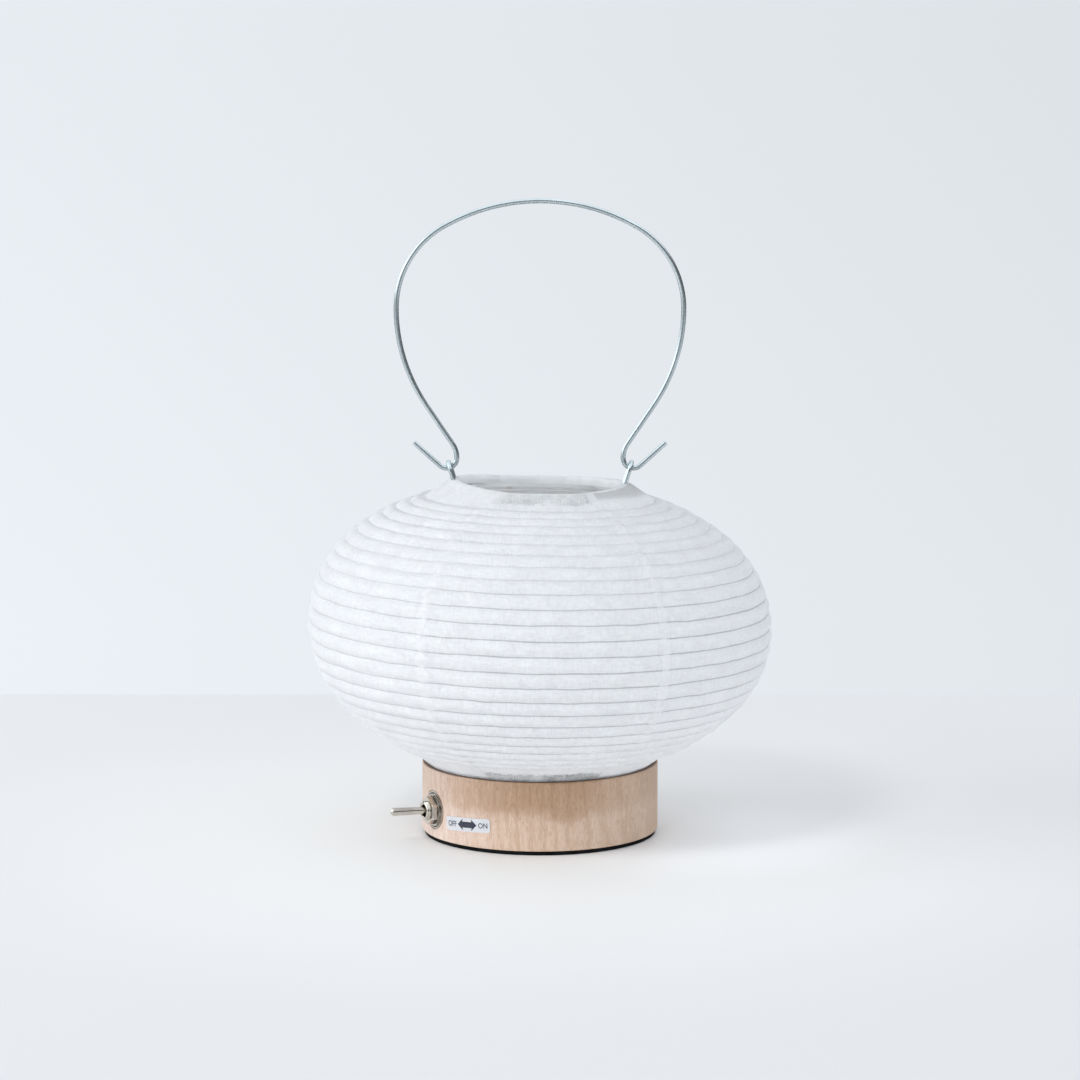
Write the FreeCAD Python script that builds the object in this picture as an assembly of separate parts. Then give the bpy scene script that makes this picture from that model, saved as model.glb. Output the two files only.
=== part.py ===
import FreeCAD, Part
import math
import os

# A battery table lantern: a ribbed paper shade on a turned wooden base, with a wire bail.
# Millimetres. Origin at the centre of the foot pad's underside, +Z up, front towards -Y.

V = FreeCAD.Vector
UP = V(0, 0, 1)

# Wooden base
base_wall = 7.0
base_round = 0.6
deck_t = 3.4
seat_depth = 2.6
seat_wall = 1.6
cavity_gap = 1.3

# Bottom cover, foot pad and the screws that hold them
pad_t = 1.3
pad_inset = 0.7
cover_t = 2.0
cover_rim = 2.5
cover_gap = 0.2
cover_room = 1.6
cover_screw_count = 3
cover_screw_d = 2.2
cover_screw_bite = 6.5
cover_screw_head_d = 4.4
cover_screw_head_h = 0.9
screw_fit = 0.05
screw_hole_gap = 0.15
head_hole_gap = 0.4
head_round = 0.4
recess_w = 0.55
recess_len = 2.3
recess_deep = 0.45

# Two cells in their holder
cell_d = 10.3
cell_len = 43.3
nub_d = 3.8
nub_len = 1.0
cell_gap = 0.1
cell_apart = 0.5
holder_wall = 1.2
holder_lip = 0.9
holder_shift = 3.0
contact_t = 0.3
contact_w = 8.0
contact_h = 8.0
tab_w = 2.0
tab_len = 2.2
tab_drop = 1.0
tab_step = 2.0
tab_slot_gap = 0.2
spring_d = 6.0
spring_len = 4.1
spring_wire = 0.5
spring_turns = 3
spring_gap = 0.1
small_screw_d = 2.0
small_head_d = 3.6
small_head_h = 1.0
holder_screw_apart = 24.0
holder_screw_bite = 2.4

# Lamp board on the deck
board_t = 1.2
board_margin = 0.4
board_screw_bite = 2.6
board_screw_turn = 90.0
emitter_w = 5.0
emitter_h = 1.0
emitter_bevel = 0.3
dome_d = 10.0
dome_wall = 0.8
dome_flange_w = 1.2
dome_flange_t = 0.8
chip_w = 3.0
chip_h = 0.9
chip_turn = 140.0
coil_d = 4.0
coil_h = 2.4
coil_turn = 180.0
resistor_len = 2.0
resistor_w = 1.2
resistor_h = 0.5
resistor_turns = (35.0, 55.0)
wire_hole_d = 4.6
wire_hole_gap = 1.0
lead_d = 1.2
lead_apart = 1.8

# Paper shade: two quarter superellipses meet at the equator, where the creases are widest
crease_r = 73.7
upper_rise = 46.3
upper_fullness = 2.24
lower_drop = 46.8
lower_fullness = 2.02
collar_w = 8.3
collar_rise = 4.7
foot_flare = 7.3
foot_rise = 5.35
rib_count = 23
fold_bulge = 0.85
paper_t = 0.3
panel_count = 6
panel_gap = 0.1
hem_t = 0.25
hem_drop = 4.0
shade_gap = 0.2

# Bamboo ribs, lantern rings and bail
rib_d = 1.0
rib_gap = 0.3
wire_d = 1.65
ear_wire_d = 1.5
wire_gap = 0.1
top_ring_r = 26.8
mouth_room = 1.0
ear_lean = 2.5
ear_h = 8.2
ear_half_w = 2.9
ear_slack = 0.25
hook_r = 3.3
hook_offset = 0.6
hook_lift = 42.0
hook_tail = 11.0
neck_r = 8.0
neck_turn = 34.0
leg_len = 15.0
leg_arc_r = 55.0
shoulder_r = 30.0
shoulder_turn = 60.5

# Toggle switch, measured along its own axis, which points out of the base
switch_turn = 207.0
spot_depth = 0.6
spot_gap = 0.3
panel_t = 3.5
bushing_d = 6.0
bushing_gap = 0.15
bushing_bore = 4.0
bushing_key = 0.5
bushing_proud = 1.2
bushing_chamfer = 0.3
washer_d = 12.0
washer_t = 0.5
lock_d = 10.0
lock_t = 0.5
lock_teeth = 12
nut_flats = 8.0
nut_t = 2.0
nut_bevel = 0.25
thread_fit = 0.05
frame_t = 0.5
frame_strap = 5.0
frame_hole_gap = 0.3
housing_len = 13.2
housing_w = 7.9
housing_depth = 9.4
housing_wall = 1.1
pocket_gap = 0.6
pivot_depth = 3.2
ball_fit = 0.08
lever_tip_d = 2.6
lever_neck_d = 2.2
lever_len = 13.7
lever_foot_d = 1.5
toggle_tilt = 12.5
fulcrum_h = 3.2
rocker_len = 8.4
rocker_w = 2.6
rocker_t = 0.4
rocker_tilt = 8.0
rocker_gap = 0.2
terminal_len = 4.2
terminal_w = 2.0
terminal_t = 0.5
terminal_pitch = 4.2
terminal_hole = 0.9

# Label beside the switch
label_turn = 232.5
label_lift = 7.0
label_w = 17.6
label_h = 4.4
label_t = 0.12
label_gap = 0.02
label_tilt = 3.5

# The cells set the holder, the holder sets the cavity, and the cavity sets the base
cell_r = cell_d / 2
cell_x = cell_r + cell_apart / 2
holder_w = 2 * (cell_x + cell_r + cell_apart / 2 + holder_wall)
holder_depth = holder_wall + cell_gap + cell_d + holder_lip
contact_room = spring_len + cell_len + nub_len + spring_gap
inner_end = contact_room / 2 + contact_t
holder_len = 2 * (inner_end + holder_wall)
holder_low_x = -holder_shift - holder_w / 2
holder_high_x = -holder_shift + holder_w / 2
cavity_r = math.hypot(holder_low_x, holder_len / 2) + cavity_gap
base_r = cavity_r + base_wall
base_h = cover_t + cover_room + holder_depth + deck_t + seat_depth
base_bottom = pad_t
base_top = base_bottom + base_h
deck_top = base_top - seat_depth
deck_under = deck_top - deck_t
cover_top = base_bottom + cover_t
cover_r = base_r - cover_rim - cover_gap
cover_screw_r = (cavity_r + base_r - cover_rim) / 2
cell_z = deck_under - holder_wall - cell_gap - cell_r
tab_z_upper = cell_z + contact_h / 2 - tab_drop
tab_z_lower = tab_z_upper - tab_step
wire_hole_r = holder_high_x + wire_hole_gap + wire_hole_d / 2
board_r = wire_hole_r + wire_hole_d / 2 + board_margin
board_top = deck_top + board_t
dome_flange_r = dome_d / 2 + dome_flange_w
board_band_r = (dome_flange_r + board_r) / 2

# Leads bend on a radius of their own thickness, so their straight runs follow it too
lead_r = lead_d / 2
lead_bend_r = lead_d
lead_corner = 1.5 * lead_d
lead_run = 3 * lead_d
lead_side = 4 * lead_d

# The shade's foot sits in the base, and its mouth closes round the top ring
wire_r = wire_d / 2
ear_wire_r = ear_wire_d / 2
seat_r = base_r - seat_wall
foot_r = seat_r - shade_gap
foot_z = deck_top + wire_gap
bottom_crease_r = foot_r + foot_flare
bottom_ring_r = foot_r - paper_t - wire_gap - wire_r
bottom_ring_z = deck_top + wire_gap / 2 + wire_r
mouth_r = top_ring_r + wire_r + mouth_room
top_crease_r = mouth_r + collar_w


def pole_rise(rise, fullness, radius):
    # How far a quarter superellipse has climbed from the equator where it reaches a radius.
    return rise * (1 - (radius / crease_r) ** fullness) ** (1 / fullness)


equator_z = base_top + foot_rise + pole_rise(lower_drop, lower_fullness, bottom_crease_r)
mouth_z = equator_z + pole_rise(upper_rise, upper_fullness, top_crease_r) + collar_rise
top_ring_z = mouth_z - hem_t - wire_gap - wire_r
ear_x = top_ring_r + ear_lean
ear_z = top_ring_z + ear_h
hook_x = ear_x + hook_offset
hook_dip = hook_r - math.sqrt(hook_r ** 2 - hook_offset ** 2)
pivot_z = ear_z - ear_wire_r - wire_r - ear_slack - hook_dip

# The switch's stack of pieces, from the wall outwards and from the wall inwards
switch_z = (cover_top + deck_under) / 2
spot_x = base_r - spot_depth
panel_x = spot_x - panel_t
nut_x = spot_x + washer_t + lock_t
mouth_x = nut_x + nut_t + bushing_proud
pivot_x = mouth_x - pivot_depth
housing_x = panel_x - frame_t
terminal_x = housing_x - housing_depth
fulcrum_x = terminal_x + fulcrum_h
rocker_x = fulcrum_x + rocker_gap
lever_foot = pivot_x - rocker_x - rocker_t - rocker_gap
label_z = base_bottom + label_lift

parts = {}


def keep(name, shape):
    # Each piece is checked as it is kept.
    assert shape.isValid() and shape.Solids, name
    parts[name] = shape


def polar(radius, degrees, z=0.0):
    angle = math.radians(degrees)
    return V(radius * math.cos(angle), radius * math.sin(angle), z)


def cylinder(radius, height, at, along=UP):
    return Part.makeCylinder(radius, height, at, along)


def block(x, y, z):
    # A box from three (low, high) ranges.
    return Part.makeBox(x[1] - x[0], y[1] - y[0], z[1] - z[0], V(x[0], y[0], z[0]))


def ring(outer_r, inner_r, height, at, along=UP):
    return cylinder(outer_r, height, at, along).cut(cylinder(inner_r, height, at, along))


def to_switch(shape):
    # Turns a shape modelled along +X round to the side of the base that carries the switch.
    turned = shape.copy()
    turned.rotate(V(0, 0, 0), UP, switch_turn)
    return turned


def pipe(edges, radius):
    # A round wire along a chain of tangent edges.
    path = Part.Wire(edges)
    start = edges[0].valueAt(edges[0].FirstParameter)
    along = edges[0].tangentAt(edges[0].FirstParameter)
    section = Part.Wire(Part.makeCircle(radius, start, along))
    return path.makePipeShell([section], True, False)


def bent_path(points, bend_r):
    # Straight runs joined by tangent arcs, as a lead is dressed.
    edges = []
    start = points[0]
    for before, corner, after in zip(points, points[1:], points[2:]):
        back = (before - corner).normalize()
        ahead = (after - corner).normalize()
        half = back.getAngle(ahead) / 2
        reach = bend_r / math.tan(half)
        enter = corner + back * reach
        leave = corner + ahead * reach
        middle = (back + ahead).normalize()
        crown = corner + middle * (bend_r / math.sin(half) - bend_r)
        edges.append(Part.LineSegment(start, enter).toShape())
        edges.append(Part.Arc(enter, crown, leave).toShape())
        start = leave
    edges.append(Part.LineSegment(start, points[-1]).toShape())
    return edges


def coil_path(radius, rise, turns):
    # A spring's centre line about +Z, one arc for every half turn.
    def at(quarter):
        return polar(radius, 90 * quarter, rise * quarter / (4 * turns))
    starts = range(0, 4 * turns, 2)
    return [Part.Arc(at(k), at(k + 1), at(k + 2)).toShape() for k in starts]


def cover_screw_places():
    step = 360.0 / cover_screw_count
    return [polar(cover_screw_r, switch_turn + step * (k + 0.5)) for k in range(cover_screw_count)]


def board_screw_places():
    return [polar(board_band_r, switch_turn + side) for side in (board_screw_turn, -board_screw_turn)]


def holder_screw_places():
    half = holder_screw_apart / 2
    return [to_switch(Part.Vertex(V(-holder_shift, y, 0))).Point for y in (-half, half)]


def pan_screw(under_head, along, shank_d, shank_len, head_d, head_h):
    # A pan head with a cross recess; the shank runs along the given direction.
    head = cylinder(head_d / 2, head_h, under_head, along * -1)
    rim = [edge for edge in head.Edges if edge.Closed and
           abs((edge.CenterOfMass - under_head).dot(along) + head_h) < 1e-6]
    head = head.makeFillet(head_round, rim)
    crown = under_head - along * head_h
    low, high = sorted((crown.z, crown.z + along.z * recess_deep))
    for half_x, half_y in ((recess_len / 2, recess_w / 2), (recess_w / 2, recess_len / 2)):
        head = head.cut(block((crown.x - half_x, crown.x + half_x),
                              (crown.y - half_y, crown.y + half_y), (low, high)))
    return head.fuse(cylinder(shank_d / 2, shank_len, under_head, along)).removeSplitter()


def wood_base():
    body = cylinder(base_r, base_h, V(0, 0, base_bottom))
    rims = [edge for edge in body.Edges if edge.Closed]
    body = body.makeFillet(base_round, rims)
    body = body.cut(cylinder(seat_r, seat_depth, V(0, 0, deck_top)))
    body = body.cut(cylinder(cavity_r, deck_under - base_bottom, V(0, 0, base_bottom)))
    body = body.cut(cylinder(cover_r + cover_gap, cover_t, V(0, 0, base_bottom)))
    for place in cover_screw_places():
        pilot = cylinder(cover_screw_d / 2 + screw_fit, cover_screw_bite, place + UP * cover_top)
        body = body.cut(pilot)
    pilot_r = small_screw_d / 2 + screw_fit
    for place in board_screw_places():
        body = body.cut(cylinder(pilot_r, board_screw_bite, place + UP * deck_top, V(0, 0, -1)))
    for place in holder_screw_places():
        body = body.cut(cylinder(pilot_r, holder_screw_bite, place + UP * deck_under))
    body = body.cut(cylinder(wire_hole_d / 2, deck_t, polar(wire_hole_r, switch_turn, deck_under)))
    axis = V(1, 0, 0)
    bore = cylinder(bushing_d / 2 + bushing_gap, base_r, V(0, 0, switch_z), axis)
    spot = cylinder(washer_d / 2 + spot_gap, base_r, V(spot_x, 0, switch_z), axis)
    half_len = housing_len / 2 + pocket_gap
    half_w = housing_w / 2 + pocket_gap
    pocket = block((0, panel_x), (-half_len, half_len), (switch_z - half_w, switch_z + half_w))
    return body.cut(to_switch(bore.fuse(spot).fuse(pocket)))


def bottom_cover():
    plate = cylinder(cover_r, cover_t, V(0, 0, base_bottom))
    hole_r = cover_screw_d / 2 + screw_hole_gap
    for place in cover_screw_places():
        plate = plate.cut(cylinder(hole_r, cover_t, place + UP * base_bottom))
    return plate


def foot_pad():
    pad = cylinder(base_r - pad_inset, pad_t, V(0, 0, 0))
    hole_r = cover_screw_head_d / 2 + head_hole_gap
    for place in cover_screw_places():
        pad = pad.cut(cylinder(hole_r, pad_t, place))
    return pad


def cover_screws():
    screws = [pan_screw(place + UP * base_bottom, UP, cover_screw_d, cover_t + cover_screw_bite,
                        cover_screw_head_d, cover_screw_head_h) for place in cover_screw_places()]
    return Part.makeCompound(screws)


def half_profile(rise, fullness, sign, steps=400):
    # One quarter of the shade's meridian, from the equator towards a pole.
    line = []
    for k in range(steps + 1):
        t = math.pi / 2 * k / steps
        radius = crease_r * math.cos(t) ** (2 / fullness)
        line.append((radius, equator_z + sign * rise * math.sin(t) ** (2 / fullness)))
    return line


def cut_at_radius(line, radius):
    # The part of a quarter meridian that lies outside a radius, ending exactly on it.
    kept = [line[0]]
    for (r0, z0), (r1, z1) in zip(line, line[1:]):
        if r1 <= radius:
            share = (r0 - radius) / (r0 - r1)
            kept.append((radius, z0 + share * (z1 - z0)))
            break
        kept.append((r1, z1))
    return kept


def crease_points():
    # Fold creases stand a constant distance apart along the meridian, from mouth to foot.
    upper = cut_at_radius(half_profile(upper_rise, upper_fullness, 1), top_crease_r)
    lower = cut_at_radius(half_profile(lower_drop, lower_fullness, -1), bottom_crease_r)
    line = upper[::-1] + lower[1:]
    run = [0.0]
    for (r0, z0), (r1, z1) in zip(line, line[1:]):
        run.append(run[-1] + math.hypot(r1 - r0, z1 - z0))
    pitch = run[-1] / rib_count
    creases = [V(line[0][0], 0, line[0][1])]
    k = 0
    for n in range(1, rib_count):
        while run[k + 1] < n * pitch:
            k += 1
        share = (n * pitch - run[k]) / (run[k + 1] - run[k])
        creases.append(V(line[k][0] + share * (line[k + 1][0] - line[k][0]), 0,
                         line[k][1] + share * (line[k + 1][1] - line[k][1])))
    creases.append(V(line[-1][0], 0, line[-1][1]))
    return creases


def outward(a, b):
    # The meridian's outward normal between two of its points, the first being the higher.
    run = (b - a).normalize()
    return V(-run.z, 0, run.x)


def fold_crowns(creases, inset):
    # The middle of each fold, where a rib lies, set in from the paper's outside.
    return [(a + b) * 0.5 + outward(a, b) * (fold_bulge - inset)
            for a, b in zip(creases, creases[1:])]


def paper_line(creases, inset):
    # The paper's section from mouth to foot: a smooth collar, the folds and a standing hem.
    points = [V(mouth_r, 0, mouth_z)] + creases
    foot = [V(foot_r, 0, base_top), V(foot_r, 0, foot_z)]
    shifted = []
    for k, point in enumerate(points):
        before = points[max(k - 1, 0)]
        after = points[min(k + 1, len(points) - 1)]
        shifted.append(point - outward(before, after) * inset)
    shifted[0] = V(mouth_r - inset, 0, mouth_z)
    crowns = fold_crowns(creases, inset)
    edges = [Part.LineSegment(shifted[0], shifted[1]).toShape()]
    for a, crown, b in zip(shifted[1:], crowns, shifted[2:]):
        edges.append(Part.Arc(a, crown, b).toShape())
    corners = [shifted[-1]] + [point - V(inset, 0, 0) for point in foot]
    for a, b in zip(corners, corners[1:]):
        edges.append(Part.LineSegment(a, b).toShape())
    return edges, shifted[0], corners[-1]


def paper_panels(creases):
    outer, outer_top, outer_foot = paper_line(creases, 0.0)
    inner, inner_top, inner_foot = paper_line(creases, paper_t)
    caps = [Part.LineSegment(outer_top, inner_top).toShape(),
            Part.LineSegment(outer_foot, inner_foot).toShape()]
    face = Part.Face(Part.Wire(Part.__sortEdges__(outer + inner + caps)))
    sweep = 360.0 / panel_count - math.degrees(panel_gap / crease_r)
    for k in range(panel_count):
        panel = face.copy()
        panel.rotate(V(0, 0, 0), UP, -90 + 360.0 / panel_count * k - sweep / 2)
        keep("paper_panel_%d" % (k + 1), panel.revolve(V(0, 0, 0), UP, sweep))


def ribs(creases):
    # One bamboo hoop lies inside the crown of every fold, numbered from the mouth down.
    inset = paper_t + rib_gap + rib_d / 2
    for k, crown in enumerate(fold_crowns(creases, inset)):
        hoop = Part.makeTorus(crown.x, rib_d / 2, V(0, 0, crown.z), UP)
        keep("rib_%02d" % (k + 1), hoop)


def ear_edges(side):
    # A U of wire that stands on the ring and leans outwards; it opens front to back.
    foot_x = math.sqrt(top_ring_r ** 2 - ear_half_w ** 2)
    foot = V(side * foot_x, 0, top_ring_z)
    lean = V(side * ear_x, 0, ear_z) - foot
    rise = V(lean.x, 0, lean.z).normalize()
    spring_line = V(side * ear_x, 0, ear_z) - rise * ear_half_w
    across = V(0, ear_half_w, 0)
    return [Part.LineSegment(foot - across, spring_line - across).toShape(),
            Part.Arc(spring_line - across, V(side * ear_x, 0, ear_z), spring_line + across).toShape(),
            Part.LineSegment(spring_line + across, foot + across).toShape()]


def top_ring():
    hoop = Part.makeTorus(top_ring_r, wire_r, V(0, 0, top_ring_z), UP)
    for side in (-1, 1):
        hoop = hoop.fuse(pipe(ear_edges(side), ear_wire_r))
    return hoop.removeSplitter()


def top_hem():
    # The paper strip folded over the ring: flat on top, then down its inner side.
    inner_r = top_ring_r - wire_r - wire_gap - hem_t
    lip = ring(mouth_r - paper_t - shade_gap, inner_r, hem_t, V(0, 0, mouth_z - hem_t))
    band = ring(inner_r + hem_t, inner_r, hem_drop, V(0, 0, mouth_z - hem_drop))
    strip = lip.fuse(band).removeSplitter()
    for side in (-1, 1):
        strip = strip.cut(pipe(ear_edges(side), ear_wire_r + wire_gap))
    return strip


def bottom_ring():
    return Part.makeTorus(bottom_ring_r, wire_r, V(0, 0, bottom_ring_z), UP)


def bottom_hem():
    outer_r = bottom_ring_r - wire_r - wire_gap
    return ring(outer_r, outer_r - hem_t, hem_drop, V(0, 0, foot_z))


def handle_half():
    # Right half of the bail, bent from the bottom of its hook: first up to the middle of the
    # grip, then the free tail. Headings are turned from straight up, towards +X.
    def arc(start, heading, radius, turn):
        sign = 1 if turn > 0 else -1
        side = math.radians(heading + 90 * sign)
        centre = start + V(math.sin(side), 0, math.cos(side)) * radius

        def at(share):
            angle = math.radians(heading + turn * share - 90 * sign)
            return centre + V(math.sin(angle), 0, math.cos(angle)) * radius
        return Part.Arc(start, at(0.5), at(1.0)).toShape(), at(1.0)

    def line(start, heading, length):
        angle = math.radians(heading)
        end = start + V(math.sin(angle), 0, math.cos(angle)) * length
        return Part.LineSegment(start, end).toShape(), end

    hook = V(hook_x, 0, pivot_z)
    rise = []
    edge, point = arc(hook, -90, hook_r, 90)
    rise.append(edge)
    edge, point = arc(point, 0, neck_r, neck_turn)
    rise.append(edge)
    edge, point = line(point, neck_turn, leg_len)
    rise.append(edge)
    edge, point = arc(point, neck_turn, leg_arc_r, -neck_turn)
    rise.append(edge)
    edge, point = arc(point, 0, shoulder_r, -shoulder_turn)
    rise.append(edge)
    # The grip's arc closes the bail on the middle plane.
    grip_r = point.x / math.cos(math.radians(shoulder_turn))
    edge, point = arc(point, -shoulder_turn, grip_r, shoulder_turn - 90)
    rise.append(edge)
    tail = []
    edge, point = arc(hook, 90, hook_r, -hook_lift)
    tail.append(edge)
    edge, point = line(point, 90 - hook_lift, hook_tail)
    tail.append(edge)
    return rise, tail


def handle():
    rise, tail = handle_half()
    right = tail[::-1] + rise
    half = pipe(Part.__sortEdges__(right), wire_r)
    return half.fuse(half.mirror(V(0, 0, 0), V(1, 0, 0))).removeSplitter()


def switch_parts():
    axis = V(1, 0, 0)

    def at(x, y=0.0, z=0.0):
        return V(x, y, switch_z + z)

    bore_r = bushing_bore / 2
    half_len = housing_len / 2
    half_w = housing_w / 2
    centre = (switch_z - half_w, switch_z + half_w)

    barrel = ring(bushing_d / 2, bore_r, mouth_x - panel_x, at(panel_x), axis)
    mouth_edges = [e for e in barrel.Edges if e.Closed and abs(e.CenterOfMass.x - mouth_x) < 1e-6]
    barrel = barrel.makeChamfer(bushing_chamfer, mouth_edges)
    key = block((panel_x, mouth_x), (-bushing_key, bushing_key),
                (switch_z - bushing_d / 2, switch_z - bushing_d / 2 + bushing_key))
    keep("switch_bushing", to_switch(barrel.cut(key)))

    flat = ring(washer_d / 2, bushing_d / 2 + bushing_gap, washer_t, at(spot_x), axis)
    keep("switch_washer", to_switch(flat))

    tooth_root = bushing_d / 2 + bushing_gap
    lock = ring(lock_d / 2, tooth_root, lock_t, at(spot_x + washer_t), axis)
    gap_w = math.pi * tooth_root / lock_teeth
    lock_x = spot_x + washer_t
    gap_end = (tooth_root + lock_d / 2) / 2
    for k in range(lock_teeth):
        slot = block((lock_x, lock_x + lock_t), (0, gap_end),
                     (switch_z - gap_w / 2, switch_z + gap_w / 2))
        slot.rotate(at(0), axis, 360.0 / lock_teeth * k)
        lock = lock.cut(slot)
    keep("switch_lock_washer", to_switch(lock))

    corner_r = nut_flats / math.sqrt(3)
    turns = [math.radians(60 * k + 30) for k in range(7)]
    corners = [at(nut_x, corner_r * math.cos(turn), corner_r * math.sin(turn)) for turn in turns]
    hexagon = Part.Face(Part.makePolygon(corners)).extrude(axis * nut_t)
    dome = Part.makeCone(corner_r + nut_t - nut_bevel, corner_r - nut_bevel, nut_t, at(nut_x), axis)
    nut = hexagon.common(dome).cut(cylinder(bushing_d / 2 + thread_fit, nut_t, at(nut_x), axis))
    keep("switch_nut", to_switch(nut))

    plate = block((housing_x, panel_x), (-half_len, half_len), centre)
    plate = plate.cut(cylinder(bore_r + frame_hole_gap, frame_t, at(housing_x), axis))
    for side in (-1, 1):
        edge_z = switch_z + side * half_w
        low, high = sorted((edge_z, edge_z - side * frame_t))
        strap = block((housing_x - frame_strap, housing_x), (-half_len, half_len), (low, high))
        plate = plate.fuse(strap)
    keep("switch_frame", to_switch(plate.removeSplitter()))

    shell_half = half_w - frame_t
    room_half = shell_half - housing_wall
    room_len = half_len - housing_wall
    shell = block((terminal_x, housing_x), (-half_len, half_len),
                  (switch_z - shell_half, switch_z + shell_half))
    room = block((terminal_x + housing_wall, housing_x), (-room_len, room_len),
                 (switch_z - room_half, switch_z + room_half))
    shell = shell.cut(room)
    contact_x = rocker_x - terminal_pitch * math.sin(math.radians(rocker_tilt)) - rocker_gap
    lugs = []
    for y, top_x in ((0.0, fulcrum_x), (-terminal_pitch, contact_x)):
        lug = block((terminal_x - terminal_len, top_x), (y - terminal_t / 2, y + terminal_t / 2),
                    (switch_z - terminal_w / 2, switch_z + terminal_w / 2))
        eye_at = at(terminal_x - terminal_len / 2, y - terminal_t / 2)
        eye = cylinder(terminal_hole / 2, terminal_t, eye_at, V(0, 1, 0))
        shell = shell.cut(lug)
        lugs.append(to_switch(lug.cut(eye)))
    keep("switch_housing", to_switch(shell))
    keep("switch_terminals", Part.makeCompound(lugs))

    arm = block((rocker_x, rocker_x + rocker_t), (-rocker_len / 2, rocker_len / 2),
                (switch_z - rocker_w / 2, switch_z + rocker_w / 2))
    arm.rotate(at(rocker_x), UP, rocker_tilt)
    keep("switch_rocker", to_switch(arm))

    # The lever is turned about its own axis: toe, foot, ball, tapered neck and round tip.
    ball_r = bore_r - ball_fit
    stem_r = lever_foot_d / 2
    waist_r = lever_neck_d / 2
    tip_r = lever_tip_d / 2

    def on_lever(along, radius):
        return at(pivot_x + along, 0, radius)

    foot_joint = -math.sqrt(ball_r ** 2 - stem_r ** 2)
    neck_joint = math.sqrt(ball_r ** 2 - waist_r ** 2)
    toe = stem_r - lever_foot
    crown = lever_len - tip_r
    slant = math.sqrt(0.5)
    outline = [Part.Arc(on_lever(-lever_foot, 0), on_lever(toe - stem_r * slant, stem_r * slant),
                        on_lever(toe, stem_r)),
               Part.LineSegment(on_lever(toe, stem_r), on_lever(foot_joint, stem_r)),
               Part.Arc(on_lever(foot_joint, stem_r), on_lever(0, ball_r),
                        on_lever(neck_joint, waist_r)),
               Part.LineSegment(on_lever(neck_joint, waist_r), on_lever(crown, tip_r)),
               Part.Arc(on_lever(crown, tip_r), on_lever(crown + tip_r * slant, tip_r * slant),
                        on_lever(lever_len, 0)),
               Part.LineSegment(on_lever(lever_len, 0), on_lever(-lever_foot, 0))]
    face = Part.Face(Part.Wire([curve.toShape() for curve in outline]))
    lever = face.revolve(at(pivot_x), axis, 360)
    lever.rotate(at(pivot_x), UP, -toggle_tilt)
    keep("switch_lever", to_switch(lever))


def switch_label():
    inner_r = base_r + label_gap
    sleeve = ring(inner_r + label_t, inner_r, base_h, V(0, 0, base_bottom))
    # The sticker's width is measured round the wall.
    half_chord = inner_r * math.sin(label_w / inner_r / 2)
    window = block((base_r / 2, 2 * base_r), (-half_chord, half_chord),
                   (label_z - label_h / 2, label_z + label_h / 2))
    window.rotate(V(0, 0, label_z), V(1, 0, 0), label_tilt)
    return sleeve.common(window.rotate(V(0, 0, 0), UP, label_turn))


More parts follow.
